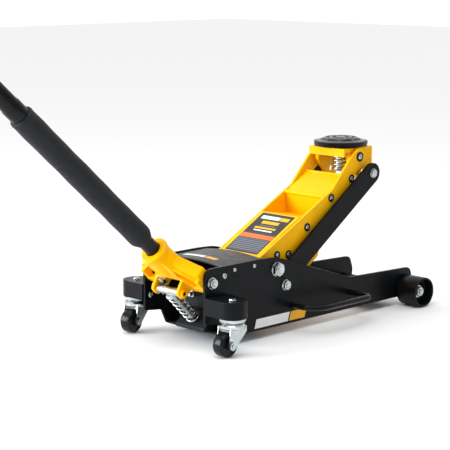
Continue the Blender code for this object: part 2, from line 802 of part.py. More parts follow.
def build_saddle():
    """A steel cup on a stem that turns in the head, with a rubber pad pressed into it."""
    bottom = HEAD_TOP + GAP
    height = SADDLE_RIM - bottom
    pad_bottom = 0.006
    cup_inside = SADDLE_RADIUS - 0.0055
    cup_profile = [
        (0.0, pad_bottom),
        (cup_inside, pad_bottom),
        (cup_inside, height),
        (SADDLE_RADIUS - 0.0010, height),
        (SADDLE_RADIUS, height - 0.001),
        (SADDLE_RADIUS, 0.0015),
        (SADDLE_RADIUS - 0.0015, 0.0),
        (0.0, 0.0),
    ]
    centre = (SADDLE_X, 0, bottom)
    cup = turned("saddle", cup_profile, centre, (0, 0, 1), "black_paint", 40)
    pad_radius = cup_inside - GAP
    pad_height = SADDLE_TOP - bottom - pad_bottom - GAP
    shoulder = SADDLE_RIM - bottom - pad_bottom
    pad_profile = [
        (0.0, pad_height),
        (pad_radius * 0.62, pad_height),
        (pad_radius - 0.001, shoulder + 0.001),
        (pad_radius, shoulder),
        (pad_radius, 0.0),
        (0.0, 0.0),
    ]
    pad_start = (SADDLE_X, 0, bottom + pad_bottom + GAP)
    pad = turned("saddle_pad", pad_profile, pad_start, (0, 0, 1), "black_rubber", 40)
    stem_profile = [(0.0, 0.0), (0.0130, 0.0), (0.0130, -0.052), (0.0110, -0.055), (0.0, -0.055)]
    stem = turned("saddle_stem", stem_profile, (SADDLE_X, 0, HEAD_TOP), (0, 0, 1), "zinc", 24)
    ride(joint_empty("saddle_axis", centre), [cup, pad, stem])


# ---------------------------------------------------------------- handle


def build_handle_socket():
    """The casting that the handle plugs into. It rocks between the side plates, and its lugs carry
    the roller that drives the pump."""
    axis = side_point(HANDLE_ALONG)
    below = side_point(HANDLE_BELOW)
    reach = PLATE_INNER - 0.0017
    half_outline = [
        (0.0262, 0.079),
        (0.0330, 0.063),
        (reach, 0.034),
        (reach, -0.010),
        (0.0500, -0.013),
        (0.0300, -0.013),
        (0.0300, 0.014),
    ]
    corners = [(y, s, 0.004) for y, s in half_outline] + [(-y, s, 0.004) for y, s in reversed(half_outline)]
    body = extruded("handle_socket", [rounded(corners, 3)], "top", -0.0185, 0.0145, "yellow_paint")
    turn = Matrix((
        (0.0, axis.x, -below.x),
        (1.0, axis.y, -below.y),
        (0.0, axis.z, -below.z),
    )).to_4x4()
    middle = body.matrix_world.copy()
    body.matrix_world = Matrix.Translation(side_point(SOCKET_PIVOT)) @ turn @ middle
    collar_start = side_point(on_handle(0.040))
    collar = rod("socket_collar", collar_start, axis, 0.057, 0.0270, "yellow_paint", ROUND)
    additions = [collar]
    lug_corners = [
        (-0.0100, 0.0080, 0.0),
        (-0.0060, 0.0473, 0.009),
        (0.0166, 0.0473, 0.009),
        (0.0260, 0.0080, 0.0),
    ]
    lug_outline = [on_handle(point.x, point.y) for point in rounded(lug_corners)]
    for side, sign in SIDES:
        boss_low, boss_high = sorted((sign * 0.056, sign * (reach - 0.0002)))
        boss_start = side_point(SOCKET_PIVOT, boss_low)
        boss_width = boss_high - boss_low
        boss = rod("socket_boss_" + side, boss_start, (0, 1, 0), boss_width, 0.0195, "yellow_paint", 24)
        additions.append(boss)
        low, high = sorted((sign * LUG_INNER, sign * LUG_OUTER))
        additions.append(extruded("socket_lug_" + side, [lug_outline], "side", low, high, "yellow_paint"))
    lock_boss_start = side_point(on_handle(0.0160, 0.0100), LOCK_BOLT_Y)
    lock_boss_length = LOCK_BOSS_BELOW - 0.0100
    additions.append(
        rod("lock_boss", lock_boss_start, below, lock_boss_length, LOCK_BOSS_RADIUS, "yellow_paint", 24)
    )
    join(body, additions)
    bore_start = side_point(on_handle(LOWER_TUBE_START - 0.0005))
    bore = rod("socket_bore", bore_start, axis, 0.1, LOWER_TUBE_RADIUS + GAP, "yellow_paint", ROUND)
    pivot_start = side_point(SOCKET_PIVOT, -0.1)
    pivot_radius = SOCKET_PIN_RADIUS + GAP
    pivot_bore = rod("socket_pivot_bore", pivot_start, (0, 1, 0), 0.2, pivot_radius, "yellow_paint")
    pin_start = side_point(PUMP_ROLLER, -0.06)
    pin_bore = rod("socket_pin_bore", pin_start, (0, 1, 0), 0.12, ROLLER_PIN_RADIUS + GAP, "yellow_paint")
    cut(body, [bore, pivot_bore, pin_bore])
    pin_reach = LUG_OUTER + 0.0005
    pin_end = side_point(PUMP_ROLLER, -pin_reach)
    pin = rod("pump_roller_pin", pin_end, (0, 1, 0), 2 * pin_reach, ROLLER_PIN_RADIUS, "zinc")
    bolt_start = side_point(on_handle(0.0160, LOCK_BOSS_BELOW + GAP), LOCK_BOLT_Y)
    lock_profile = [(0.0, 0.0060), (0.0082, 0.0060), (0.0094, 0.0045), (0.0094, 0.0), (0.0, 0.0)]
    lock = turned("handle_lock_bolt", lock_profile, bolt_start, below, "zinc", 6)
    pivot_empty = joint_empty("socket_axis", side_point(SOCKET_PIVOT))
    ride(pivot_empty, [body, pin, lock])
    roller = ring(
        "pump_roller",
        side_point(PUMP_ROLLER, -PUMP_ROLLER_HALF_WIDTH),
        (0, 1, 0),
        2 * PUMP_ROLLER_HALF_WIDTH,
        PUMP_ROLLER_RADIUS,
        ROLLER_PIN_RADIUS + GAP,
        "zinc",
        24,
    )
    ride(joint_empty("pump_roller_axis", side_point(PUMP_ROLLER)), [roller])


def build_handle():
    """Two telescoped tubes with a foam bumper sleeve over the lower one and a grip on the end."""
    axis = side_point(HANDLE_ALONG)
    start = side_point(SOCKET_PIVOT)
    lower = ring(
        "handle_lower_tube",
        side_point(on_handle(LOWER_TUBE_START)),
        axis,
        LOWER_TUBE_END - LOWER_TUBE_START,
        LOWER_TUBE_RADIUS,
        LOWER_TUBE_RADIUS - 0.0025,
        "black_paint",
    )
    chamfer = 0.004
    bore = LOWER_TUBE_RADIUS + GAP
    sleeve_profile = [
        (SLEEVE_RADIUS - chamfer, SLEEVE_END),
        (SLEEVE_RADIUS, SLEEVE_END - chamfer),
        (SLEEVE_RADIUS, SLEEVE_START + chamfer),
        (SLEEVE_RADIUS - chamfer, SLEEVE_START),
        (bore, SLEEVE_START),
        (bore, SLEEVE_END),
    ]
    sleeve = turned("handle_sleeve", sleeve_profile, start, axis, "foam")
    upper_start = SLEEVE_END + GAP
    upper = ring(
        "handle_upper_tube",
        side_point(on_handle(upper_start)),
        axis,
        HANDLE_LENGTH - 0.004 - upper_start,
        UPPER_TUBE_RADIUS,
        LOWER_TUBE_RADIUS + GAP,
        "black_paint",
    )
    grip_bore = UPPER_TUBE_RADIUS + GAP
    grip_profile = [
        (0.0, HANDLE_LENGTH),
        (GRIP_RADIUS - 0.003, HANDLE_LENGTH),
        (GRIP_RADIUS, HANDLE_LENGTH - 0.003),
        (GRIP_RADIUS, GRIP_START + 0.001),
        (GRIP_RADIUS - 0.001, GRIP_START),
        (grip_bore, GRIP_START),
        (grip_bore, HANDLE_LENGTH - 0.0035),
        (0.0, HANDLE_LENGTH - 0.0035),
    ]
    grip = turned("handle_grip", grip_profile, start, axis, "black_rubber")
    ride(joint_empty("handle_axis", start), [lower, sleeve, upper, grip])


# ---------------------------------------------------------------- wheels


def turn_caster(piece, side, sign):
    """Swings a caster piece about its king pin to the angle at which the caster stands."""
    pin = Matrix.Translation((CASTER_X, sign * CASTER_Y, 0.0))
    swing = pin @ Matrix.Rotation(CASTER_TURN[side], 4, "Z") @ pin.inverted()
    piece.matrix_world = swing @ piece.matrix_world


def build_king_pin(side, sign):
    """The caster's bolt, forged with the upper half of its ball race."""
    profile = [
        (0.0, 0.1115),
        (0.0055, 0.1115),
        (0.0055, BRACKET_BOTTOM - GAP),
        (0.0270, BRACKET_BOTTOM - GAP),
        (0.0270, 0.0700),
        (0.0240, 0.0650),
        (0.0055, 0.0650),
        (0.0055, 0.0538),
        (0.0090, 0.0538),
        (0.0090, 0.0502),
        (0.0, 0.0502),
    ]
    return turned("caster_king_pin_" + side, profile, (CASTER_X, sign * CASTER_Y, 0), (0, 0, 1), "zinc")


def build_caster_fork(side, sign):
    """The lower race with two tapering legs that straddle the wheel."""
    name = "caster_fork_" + side
    race_profile = [
        (0.0235, 0.0646),
        (0.0265, 0.0610),
        (0.0265, 0.0560),
        (0.0245, 0.0542),
        (0.0059, 0.0542),
        (0.0059, 0.0646),
    ]
    fork = turned(name, race_profile, (CASTER_X, sign * CASTER_Y, 0), (0, 0, 1), "zinc")
    axle_x = CASTER_X - CASTER_TRAIL
    leg_corners = [
        (CASTER_X - 0.0215, 0.0590, 0.0),
        (axle_x - 0.0085, CASTER_WHEEL_RADIUS - 0.0080, 0.008),
        (axle_x + 0.0085, CASTER_WHEEL_RADIUS - 0.0080, 0.008),
        (CASTER_X + 0.0215, 0.0480, 0.004),
        (CASTER_X + 0.0215, 0.0590, 0.0),
    ]
    legs = []
    for place in (-1, 1):
        low = sign * CASTER_Y + place * CASTER_LEG_MIDDLE - CASTER_LEG_THICKNESS / 2
        leg_name = name + ("_outer_leg" if place == sign else "_inner_leg")
        legs.append(
            extruded(leg_name, [rounded(leg_corners)], "side", low, low + CASTER_LEG_THICKNESS, "zinc")
        )
    hole_start = (axle_x, sign * CASTER_Y - 0.03, CASTER_WHEEL_RADIUS)
    hole = rod(name + "_axle_hole", hole_start, (0, 1, 0), 0.06, 0.0038, "zinc", SMALL_ROUND)
    join(fork, legs)
    cut(fork, [hole])
    return fork, legs + [hole]


def build_caster_wheel(side, sign):
    radius = CASTER_WHEEL_RADIUS
    half = CASTER_WHEEL_HALF_WIDTH
    hub = half + 0.002
    profile = [
        (0.0090, hub),
        (0.0100, half - 0.002),
        (0.0180, half - 0.002),
        (0.0190, half),
        (radius - 0.003, half),
        (radius, half - 0.004),
        (radius, 0.004 - half),
        (radius - 0.003, -half),
        (0.0190, -half),
        (0.0180, 0.002 - half),
        (0.0100, 0.002 - half),
        (0.0090, -hub),
        (0.0038, -hub),
        (0.0038, hub),
    ]
    centre = (CASTER_X - CASTER_TRAIL, sign * CASTER_Y, radius)
    return turned("caster_wheel_" + side, profile, centre, (0, 1, 0), "black_plastic", 32)


def build_caster_axle(side, sign):
    """A through bolt with a round head inside and a nut outside."""
    face = CASTER_LEG_MIDDLE + CASTER_LEG_THICKNESS / 2 + GAP
    profile = [
        (0.0, face + 0.0065),
        (0.0035, face + 0.0065),
        (0.0035, face + 0.0045),
        (0.0080, face + 0.0040),
        (0.0080, face),
        (0.0035, face),
        (0.0035, -face),
        (0.0070, -face),
        (0.0070, -face - 0.003),
        (0.0, -face - 0.003),
    ]
    centre = (CASTER_X - CASTER_TRAIL, sign * CASTER_Y, CASTER_WHEEL_RADIUS)
    return turned("caster_axle_" + side, profile, centre, (0, sign, 0), "zinc", SMALL_ROUND)


def build_casters():
    for side, sign in SIDES:
        build_king_pin(side, sign)
        fork, fork_tools = build_caster_fork(side, sign)
        wheel = build_caster_wheel(side, sign)
        axle = build_caster_axle(side, sign)
        for piece in [fork, wheel, axle] + fork_tools:
            turn_caster(piece, side, sign)
        king = (CASTER_X, sign * CASTER_Y, 0.06)
        ride(joint_empty("caster_swivel_axis_" + side, king), [fork, axle])
        hub = wheel.matrix_world.translation.copy()
        ride(joint_empty("caster_wheel_axis_" + side, hub), [wheel])


def build_front_rollers():
    """Steel rollers with a deep cup in the outer face, on the ends of the front axle."""
    width = ROLLER_OUTER - ROLLER_INNER
    cup = 0.0214
    wall = 0.0040
    profile = [
        (ROLLER_RADIUS - wall, width),
        (ROLLER_RADIUS - 0.0010, width),
        (ROLLER_RADIUS, width - 0.0010),
        (ROLLER_RADIUS, 0.0010),
        (ROLLER_RADIUS - 0.0010, 0.0),
        (AXLE_RADIUS + GAP, 0.0),
        (AXLE_RADIUS + GAP, width - cup),
        (ROLLER_RADIUS - wall, width - cup),
    ]
    for side, sign in SIDES:
        start = side_point(FRONT_AXLE, sign * ROLLER_INNER)
        roller = turned("front_roller_" + side, profile, start, (0, sign, 0), "black_paint", 40)
        ride(joint_empty("front_roller_axis_" + side, start), [roller])


def main():
    build_side_plates()
    build_cross_plates()
    build_top_cover()
    build_front_axle()
    build_carry_handles()
    build_pivots()
    build_caster_brackets()
    build_power_unit()
    build_ram()
    build_pump()
    build_lift_arm()
    build_links()
    build_saddle_head()
    build_saddle()
    build_handle_socket()
    build_handle()
    build_casters()
    build_front_rollers()


main()
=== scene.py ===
"""The looks of the hydraulic floor jack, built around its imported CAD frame.

Metres, +Z up. +X runs from the handle end to the saddle end, +Y is the jack's left side.
"""

import json
import math

import bmesh
import bpy
from mathutils import Matrix, Vector

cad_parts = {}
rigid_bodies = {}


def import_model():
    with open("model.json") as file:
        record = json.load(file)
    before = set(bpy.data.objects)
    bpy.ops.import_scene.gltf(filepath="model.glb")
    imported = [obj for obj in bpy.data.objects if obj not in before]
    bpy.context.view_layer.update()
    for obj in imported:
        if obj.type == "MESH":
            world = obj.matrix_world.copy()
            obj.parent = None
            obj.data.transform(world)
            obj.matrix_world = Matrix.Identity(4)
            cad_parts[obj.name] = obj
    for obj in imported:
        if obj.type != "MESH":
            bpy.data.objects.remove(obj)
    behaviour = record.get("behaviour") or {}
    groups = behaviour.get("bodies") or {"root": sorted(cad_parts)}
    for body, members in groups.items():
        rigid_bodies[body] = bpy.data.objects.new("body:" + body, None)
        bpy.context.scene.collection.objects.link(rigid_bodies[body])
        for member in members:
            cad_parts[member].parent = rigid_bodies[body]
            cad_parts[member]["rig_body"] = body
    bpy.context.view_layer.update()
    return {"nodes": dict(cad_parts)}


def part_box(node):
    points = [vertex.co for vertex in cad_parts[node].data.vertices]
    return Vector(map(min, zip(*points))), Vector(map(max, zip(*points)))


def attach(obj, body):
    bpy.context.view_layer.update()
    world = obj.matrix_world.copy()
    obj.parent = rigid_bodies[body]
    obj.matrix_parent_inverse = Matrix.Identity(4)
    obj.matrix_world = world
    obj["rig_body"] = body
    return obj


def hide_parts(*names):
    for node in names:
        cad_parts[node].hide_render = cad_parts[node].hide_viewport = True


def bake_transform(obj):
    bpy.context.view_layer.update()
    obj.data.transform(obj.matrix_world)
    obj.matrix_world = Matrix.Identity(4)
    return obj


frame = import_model()
NODES = frame["nodes"]
SIDES = (("right", -1), ("left", 1))
FORWARD = Vector((1.0, 0.0, 0.0))
LEFT = Vector((0.0, 1.0, 0.0))
UP = Vector((0.0, 0.0, 1.0))

# ---------------------------------------------------------------- places, from the frame


def centre(node):
    low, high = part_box(node)
    return (low + high) / 2


def half_width(node):
    """Half of a node's size across the jack."""
    low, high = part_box(node)
    return (high.y - low.y) / 2


PLATE_FACE = -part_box("side_plate_right")[0].y
PLATE_INNER = -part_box("side_plate_right")[1].y
ARM_FACE = -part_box("arm_plate_right")[0].y
ARM_INNER = -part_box("arm_plate_right")[1].y
MAIN_PIVOT = centre("main_pivot_shaft")
HEAD_PIVOT = centre("arm_head_bolt_right")
HEAD_PIVOT.y = 0.0
SOCKET_PIVOT = centre("socket_pivot_bolt_right")
SOCKET_PIVOT.y = 0.0
ALONG_ARM = (HEAD_PIVOT - MAIN_PIVOT).normalized()
ABOVE_ARM = Vector((-ALONG_ARM.z, 0.0, ALONG_ARM.x))
ALONG_HANDLE = (centre("handle_upper_tube") - centre("handle_lower_tube")).normalized()
BELOW_HANDLE = Vector((-ALONG_HANDLE.z, 0.0, ALONG_HANDLE.x))
GAP = 0.0003


def on_arm(along, above):
    """A point in the jack's middle plane, by its distances along the arm and above its pivots' line."""
    return MAIN_PIVOT + ALONG_ARM * along + ABOVE_ARM * above


def axes(start, x, y, z):
    """A matrix at start with the given x, y and z axes."""
    made = Matrix((x, y, z)).transposed().to_4x4()
    made.translation = start
    return made


# ---------------------------------------------------------------- materials

NOISE_LOW, NOISE_HIGH = 0.3, 0.7


def new_material(name, color, roughness, metallic=0.0, specular=0.5):
    """A Principled material with its constant values set, and the shader and node tree to add to."""
    made = bpy.data.materials.new(name)
    made.use_nodes = True
    tree = made.node_tree
    shader = tree.nodes["Principled BSDF"]
    shader.inputs["Base Color"].default_value = (*color, 1.0)
    shader.inputs["Roughness"].default_value = roughness
    shader.inputs["Metallic"].default_value = metallic
    shader.inputs["Specular IOR Level"].default_value = specular
    return made, tree, shader


def add_noise(tree, scale, detail=3.0, stretch=(1.0, 1.0, 1.0)):
    """Noise that is fixed to the piece, in features per metre."""
    place = tree.nodes.new("ShaderNodeTexCoord")
    mapping = tree.nodes.new("ShaderNodeMapping")
    mapping.inputs["Scale"].default_value = stretch
    noise = tree.nodes.new("ShaderNodeTexNoise")
    noise.inputs["Scale"].default_value = scale
    noise.inputs["Detail"].default_value = detail
    tree.links.new(place.outputs["Object"], mapping.inputs["Vector"])
    tree.links.new(mapping.outputs["Vector"], noise.inputs["Vector"])
    return noise.outputs["Fac"]


def vary_color(tree, shader, value, low, high):
    """Runs the base colour from low to high with a value from 0 to 1."""
    ramp = tree.nodes.new("ShaderNodeValToRGB")
    ramp.color_ramp.elements[0].position = NOISE_LOW
    ramp.color_ramp.elements[1].position = NOISE_HIGH
    ramp.color_ramp.elements[0].color = (*low, 1.0)
    ramp.color_ramp.elements[1].color = (*high, 1.0)
    tree.links.new(value, ramp.inputs["Fac"])
    tree.links.new(ramp.outputs["Color"], shader.inputs["Base Color"])


def vary_roughness(tree, shader, value, low, high):
    """Runs the roughness from low to high in the same way."""
    spread = tree.nodes.new("ShaderNodeMapRange")
    spread.inputs["From Min"].default_value = NOISE_LOW
    spread.inputs["From Max"].default_value = NOISE_HIGH
    spread.inputs["To Min"].default_value = low
    spread.inputs["To Max"].default_value = high
    tree.links.new(value, spread.inputs["Value"])
    tree.links.new(spread.outputs["Result"], shader.inputs["Roughness"])


def add_grain(tree, shader, grain, detail, stretch=(1.0, 1.0, 1.0)):
    """A fine bump. A grain is how many features it has per metre, and their height in metres."""
    scale, height = grain
    bump = tree.nodes.new("ShaderNodeBump")
    bump.inputs["Distance"].default_value = height
    tree.links.new(add_noise(tree, scale, detail, stretch), bump.inputs["Height"])
    tree.links.new(bump.outputs["Normal"], shader.inputs["Normal"])


def painted(name, low, high, roughness, grain, specular=0.5, tint=(1.0, 1.0, 1.0)):
    """A sprayed or printed finish: slow colour variation, patchy gloss and a fine grain."""
    made, tree, shader = new_material(name, high, roughness[0], 0.0, specular)
    shader.inputs["Specular Tint"].default_value = (*tint, 1.0)
    vary_color(tree, shader, add_noise(tree, 14.0), low, high)
    vary_roughness(tree, shader, add_noise(tree, 60.0), *roughness)
    add_grain(tree, shader, grain, 2.0)
    return made


def plated(name, low, high, roughness, stretch=(1.0, 1.0, 1.0)):
    """Bare or plated metal with faint cloudy patches and fine tool marks."""
    made, tree, shader = new_material(name, high, roughness[0], 1.0)
    vary_color(tree, shader, add_noise(tree, 60.0), low, high)
    vary_roughness(tree, shader, add_noise(tree, 90.0), *roughness)
    add_grain(tree, shader, TOOL_MARKS, 2.0, stretch)
    return made


def moulded(name, low, high, roughness, grain, specular=0.4):
    """Rubber, plastic or foam with a moulded grain."""
    made, tree, shader = new_material(name, high, roughness[0], 0.0, specular)
    vary_color(tree, shader, add_noise(tree, 40.0), low, high)
    vary_roughness(tree, shader, add_noise(tree, 120.0), *roughness)
    add_grain(tree, shader, grain, 4.0)
    return made


def lined_grey():
    """Grey with thin plain lines across it."""
    made, tree, shader = new_material("label_grey", (0.12, 0.13, 0.15), 0.4)
    place = tree.nodes.new("ShaderNodeTexCoord")
    wave = tree.nodes.new("ShaderNodeTexWave")
    wave.wave_type = "BANDS"
    wave.bands_direction = "X"
    wave.inputs["Scale"].default_value = 62.0
    wave.inputs["Distortion"].default_value = 0.4
    tree.links.new(place.outputs["Object"], wave.inputs["Vector"])
    vary_color(tree, shader, wave.outputs["Fac"], (0.035, 0.037, 0.045), (0.16, 0.17, 0.20))
    vary_roughness(tree, shader, add_noise(tree, 80.0), 0.35, 0.45)
    return made


# The grain of each finish: features per metre, and their height in metres.
TOOL_MARKS = (900.0, 0.000006)
ORANGE_PEEL = (260.0, 0.00006)
PAINTED_CASTING = (420.0, 0.00025)
SAND_CASTING = (500.0, 0.0004)
POWDER_COAT = (900.0, 0.00008)
SMOOTH_COAT = (240.0, 0.00003)
FOAM_CELLS = (1400.0, 0.00012)
RUBBER_GRAIN = (800.0, 0.00006)
PLASTIC_GRAIN = (300.0, 0.00003)
PRINT_GRAIN = (900.0, 0.00003)
LABEL_GRAIN = (900.0, 0.00002)
RECESS_GRAIN = (500.0, 0.0001)
YELLOW_SHEEN = (1.0, 0.78, 0.08)

YELLOW = painted(
    "yellow_gloss", (0.90, 0.44, 0.001), (0.97, 0.50, 0.002), (0.24, 0.34), ORANGE_PEEL, 0.22, YELLOW_SHEEN
)
YELLOW_CAST = painted(
    "yellow_casting", (0.88, 0.43, 0.001), (0.97, 0.49, 0.002), (0.28, 0.42),
    PAINTED_CASTING, 0.22, YELLOW_SHEEN,
)
BLACK = painted(
    "black_powder_coat", (0.0026, 0.0032, 0.0042), (0.0044, 0.0052, 0.0066), (0.26, 0.38), POWDER_COAT, 0.12
)
BLACK_GLOSS = painted(
    "black_gloss", (0.003, 0.0033, 0.004), (0.005, 0.0053, 0.006), (0.18, 0.28), SMOOTH_COAT, 0.2
)
DARK_GREY = painted(
    "dark_grey_coat", (0.012, 0.013, 0.014), (0.018, 0.019, 0.021), (0.34, 0.46), POWDER_COAT, 0.3
)
CAST_BLACK = painted(
    "black_casting", (0.004, 0.004, 0.005), (0.008, 0.008, 0.009), (0.45, 0.6), SAND_CASTING, 0.25
)
# Painted shade: a flat near-black put where shade falls in recesses, round the arm screws and at the roller
# pin's holes.
RECESS_SHADE = painted(
    "painted_recess_shade", (0.003, 0.003, 0.003), (0.006, 0.006, 0.006), (0.5, 0.7), RECESS_GRAIN, 0.2
)
ZINC = plated("zinc_plate", (0.43, 0.47, 0.46), (0.58, 0.62, 0.61), (0.16, 0.26))
STEEL = plated("ground_steel", (0.42, 0.42, 0.42), (0.6, 0.6, 0.6), (0.25, 0.42), (1.0, 6.0, 1.0))
DARK_STEEL = plated("oiled_steel", (0.04, 0.04, 0.04), (0.08, 0.08, 0.08), (0.35, 0.5))
FOAM = moulded(
    "foam", (0.0075, 0.0085, 0.0110), (0.0115, 0.0130, 0.0165), (0.55, 0.7), FOAM_CELLS, 0.25
)
RUBBER = moulded(
    "black_rubber", (0.006, 0.0062, 0.007), (0.010, 0.0105, 0.011), (0.30, 0.45), RUBBER_GRAIN
)
# Paler than the black rubber: partly the pad's grey, partly painted sheen for its ridge tops.
PAD_RUBBER = moulded(
    "saddle_rubber", (0.030, 0.032, 0.032), (0.060, 0.063, 0.063), (0.22, 0.32), RUBBER_GRAIN, 0.6
)
PLASTIC = moulded(
    "wheel_plastic", (0.003, 0.0033, 0.0045), (0.005, 0.0055, 0.007), (0.14, 0.24), PLASTIC_GRAIN, 0.22
)
WHITE_PRINT = painted("white_print", (0.72, 0.72, 0.72), (0.8, 0.8, 0.8), (0.35, 0.45), PRINT_GRAIN, 0.3)
YELLOW_PRINT = painted(
    "yellow_print", (0.82, 0.40, 0.004), (0.9, 0.45, 0.008), (0.35, 0.45), PRINT_GRAIN, 0.3
)
LABEL_BLACK = painted(
    "label_black", (0.008, 0.008, 0.009), (0.012, 0.012, 0.014), (0.3, 0.4), LABEL_GRAIN
)
LABEL_ORANGE = painted(
    "label_orange", (0.75, 0.13, 0.01), (0.82, 0.16, 0.015), (0.3, 0.4), LABEL_GRAIN
)
LABEL_GREY = lined_grey()

# ---------------------------------------------------------------- mesh helpers


def placed(name, data):
    """An object in the scene that holds a mesh, a lamp or a camera."""
    made = bpy.data.objects.new(name, data)
    bpy.context.scene.collection.objects.link(made)
    return made


def piece(name, mesh, material, body, replaces=(), smooth_below=40.0):
    """A finished mesh as a piece that rides on a body, with edges sharper than an angle kept crisp."""
    made = placed(name, mesh)
    mesh.materials.clear()
    mesh.materials.append(material)
    mesh.shade_smooth()
    mesh.set_sharp_from_angle(angle=math.radians(smooth_below))
    if replaces:
        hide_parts(*replaces)
    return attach(made, body)


def closed_mesh(name, vertices, faces):
    """A mesh with its doubled vertices welded and its faces turned outward."""
    mesh = bpy.data.meshes.new(name)
    mesh.from_pydata([tuple(v) for v in vertices], [], faces)
    work = bmesh.new()
    work.from_mesh(mesh)
    bmesh.ops.remove_doubles(work, verts=work.verts, dist=0.00001)
    bmesh.ops.recalc_face_normals(work, faces=work.faces)
    work.to_mesh(mesh)
    work.free()
    return mesh


def basis(start, along):
    """A matrix at start whose z axis points along."""
    turn = Vector(along).normalized().to_track_quat("Z", "Y").to_matrix()
    return Matrix.Translation(start) @ turn.to_4x4()


def circle_point(radius, angle, height=0.0):
    return Vector((radius * math.cos(angle), radius * math.sin(angle), height))


def full_turn(sides):
    """The angles of evenly spaced points round a circle."""
    return [2 * math.pi * n / sides for n in range(sides)]


def band(first, second, sides):
    """The faces between two rings of vertices, given the index at which each ring starts."""
    following = [(n + 1) % sides for n in range(sides)]
    return [(first + n, first + m, second + m, second + n) for n, m in enumerate(following)]


def round_over(radius, distance, size, steps):
    """The points of a profile's rounded outer edge, which ends at a radius and starts at a distance."""
    angles = [math.pi / 2 * n / steps for n in range(steps + 1)]
    return [(radius - size + size * math.sin(a), distance - size + size * math.cos(a)) for a in angles]


def lathe(name, profile, start, along, sides=48):
    """A mesh turned from (radius, distance) pairs. It is solid where the profile meets the axis and
    closes round a bore where it doesn't."""
    place = basis(start, along)
    bored = profile[0][0] > 0.0
    vertices = []
    for radius, distance in profile:
        vertices += [place @ circle_point(radius, angle, distance) for angle in full_turn(sides)]
    rows = len(profile)
    faces = []
    for row in range(rows if bored else rows - 1):
        faces += band(row * sides, (row + 1) % rows * sides, sides)
    return without_slivers(closed_mesh(name, vertices, faces))


def without_slivers(mesh):
    """Drops the faces that welding has folded to a line."""
    work = bmesh.new()
    work.from_mesh(mesh)
    bmesh.ops.dissolve_degenerate(work, edges=work.edges, dist=0.000001)
    bmesh.ops.recalc_face_normals(work, faces=work.faces)
    work.to_mesh(mesh)
    work.free()
    return mesh


def sweep(name, centres, sections):
    """A mesh through a row of matching closed sections, capped at both ends."""
    sides = len(sections[0])
    vertices = [middle + offset for middle, row in zip(centres, sections) for offset in row]
    last = (len(centres) - 1) * sides
    faces = []
    for start in range(0, last, sides):
        faces += band(start, start + sides, sides)
    faces += [tuple(range(sides)), tuple(range(last, last + sides))]
    return closed_mesh(name, vertices, faces)


def coil(name, start, end, across, side, radius, wire, turns, steps_per_turn):
    """A round wire wound about the line from start to end."""
    along = (end - start).normalized()
    steps = int(turns * steps_per_turn)
    centres = []
    sections = []
    for n in range(steps + 1):
        angle = 2 * math.pi * turns * n / steps
        radial = across * math.cos(angle) + side * math.sin(angle)
        centres.append(start + (end - start) * n / steps + radial * radius)
        sections.append([(radial * math.cos(a) + along * math.sin(a)) * wire for a in full_turn(12)])
    return sweep(name, centres, sections)


def bar_mesh(name, start, end, radius):
    """A round bar along a straight line."""
    turn = (end - start).normalized().to_track_quat("Z", "Y").to_matrix()
    section = [turn @ circle_point(radius, angle) for angle in full_turn(16)]
    return sweep(name, [start, end], [section, section])


def prism(name, outline, depth, place):
    """A flat outline in the place's x and y, with a depth along its z."""
    count = len(outline)
    vertices = [place @ Vector((x, y, 0.0)) for x, y in outline]
    vertices += [place @ Vector((x, y, depth)) for x, y in outline]
    faces = [tuple(range(count)), tuple(range(count, 2 * count))]
    for n in range(count):
        m = (n + 1) % count
        faces.append((n, m, m + count, n + count))
    return closed_mesh(name, vertices, faces)


def cad_mesh(node):
    """A welded copy of a CAD node's mesh."""
    source = NODES[node].data
    coords = [v.co for v in source.vertices]
    faces = [tuple(p.vertices) for p in source.polygons]
    return closed_mesh(node + "_finish", coords, faces)


def refined(node, width, material):
    """A copy of a CAD node with its edges rounded, which stands for the node."""
    mesh = cad_mesh(node)
    work = bmesh.new()
    work.from_mesh(mesh)
    bmesh.ops.dissolve_limit(work, angle_limit=math.radians(1.0), verts=work.verts, edges=work.edges)
    work.to_mesh(mesh)
    work.free()
    made = piece(node + "_finish", mesh, material, NODES[node]["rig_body"], [node])
    bevel = made.modifiers.new("rounded_edges", "BEVEL")
    bevel.width = width
    bevel.segments = 3
    bevel.limit_method = "ANGLE"
    bevel.angle_limit = math.radians(30.0)
    normals = made.modifiers.new("even_shading", "WEIGHTED_NORMAL")
    normals.keep_sharp = True


def hexagon_radius(angle, flat):
    """The distance from a hexagon's centre to its side at an angle."""
    turned = (angle + math.pi / 6) % (math.pi / 3) - math.pi / 6
    return flat / math.cos(turned)


def hex_head(name, start, along, flat, height, sides=48):
    """A hexagon head or nut with its corners chamfered all round."""
    place = basis(start, along)
    crown = flat * 0.96
    vertices = [place @ Vector((0.0, 0.0, 0.0))]
    for level in range(4):
        for angle in full_turn(sides):
            edge = hexagon_radius(angle, flat)
            shoulder = height - (edge - crown) * 0.6
            radius, distance = ((edge, 0.0), (edge, shoulder), (crown, height), (0.0, height))[level]
            vertices.append(place @ circle_point(radius, angle, distance))
    faces = [(0, 1 + (n + 1) % sides, 1 + n) for n in range(sides)]
    for level in range(3):
        faces += band(1 + level * sides, 1 + (level + 1) * sides, sides)
    return without_slivers(closed_mesh(name, vertices, faces))


def join_meshes(name, meshes):
    """Several closed meshes as the shells of one."""
    work = bmesh.new()
    for mesh in meshes:
        work.from_mesh(mesh)
    joined = bpy.data.meshes.new(name)
    work.to_mesh(joined)
    work.free()
    for mesh in meshes:
        bpy.data.meshes.remove(mesh)
    return joined


def washer(name, start, along, radius, bore, height):
    edge = height * 0.3
    profile = [(bore, height), (radius - edge, height), (radius, height - edge), (radius, 0.0), (bore, 0.0)]
    return lathe(name, profile, start, along)


WASHER_HEIGHT = 0.0016
WASHER_SUNK = 0.0002
THREAD_PITCH = 0.0012
THREAD_DEPTH = 0.0005
THREAD_CHAMFER = 0.0008
THREAD_PLAIN = 0.001
THREAD_SUNK = 0.0005


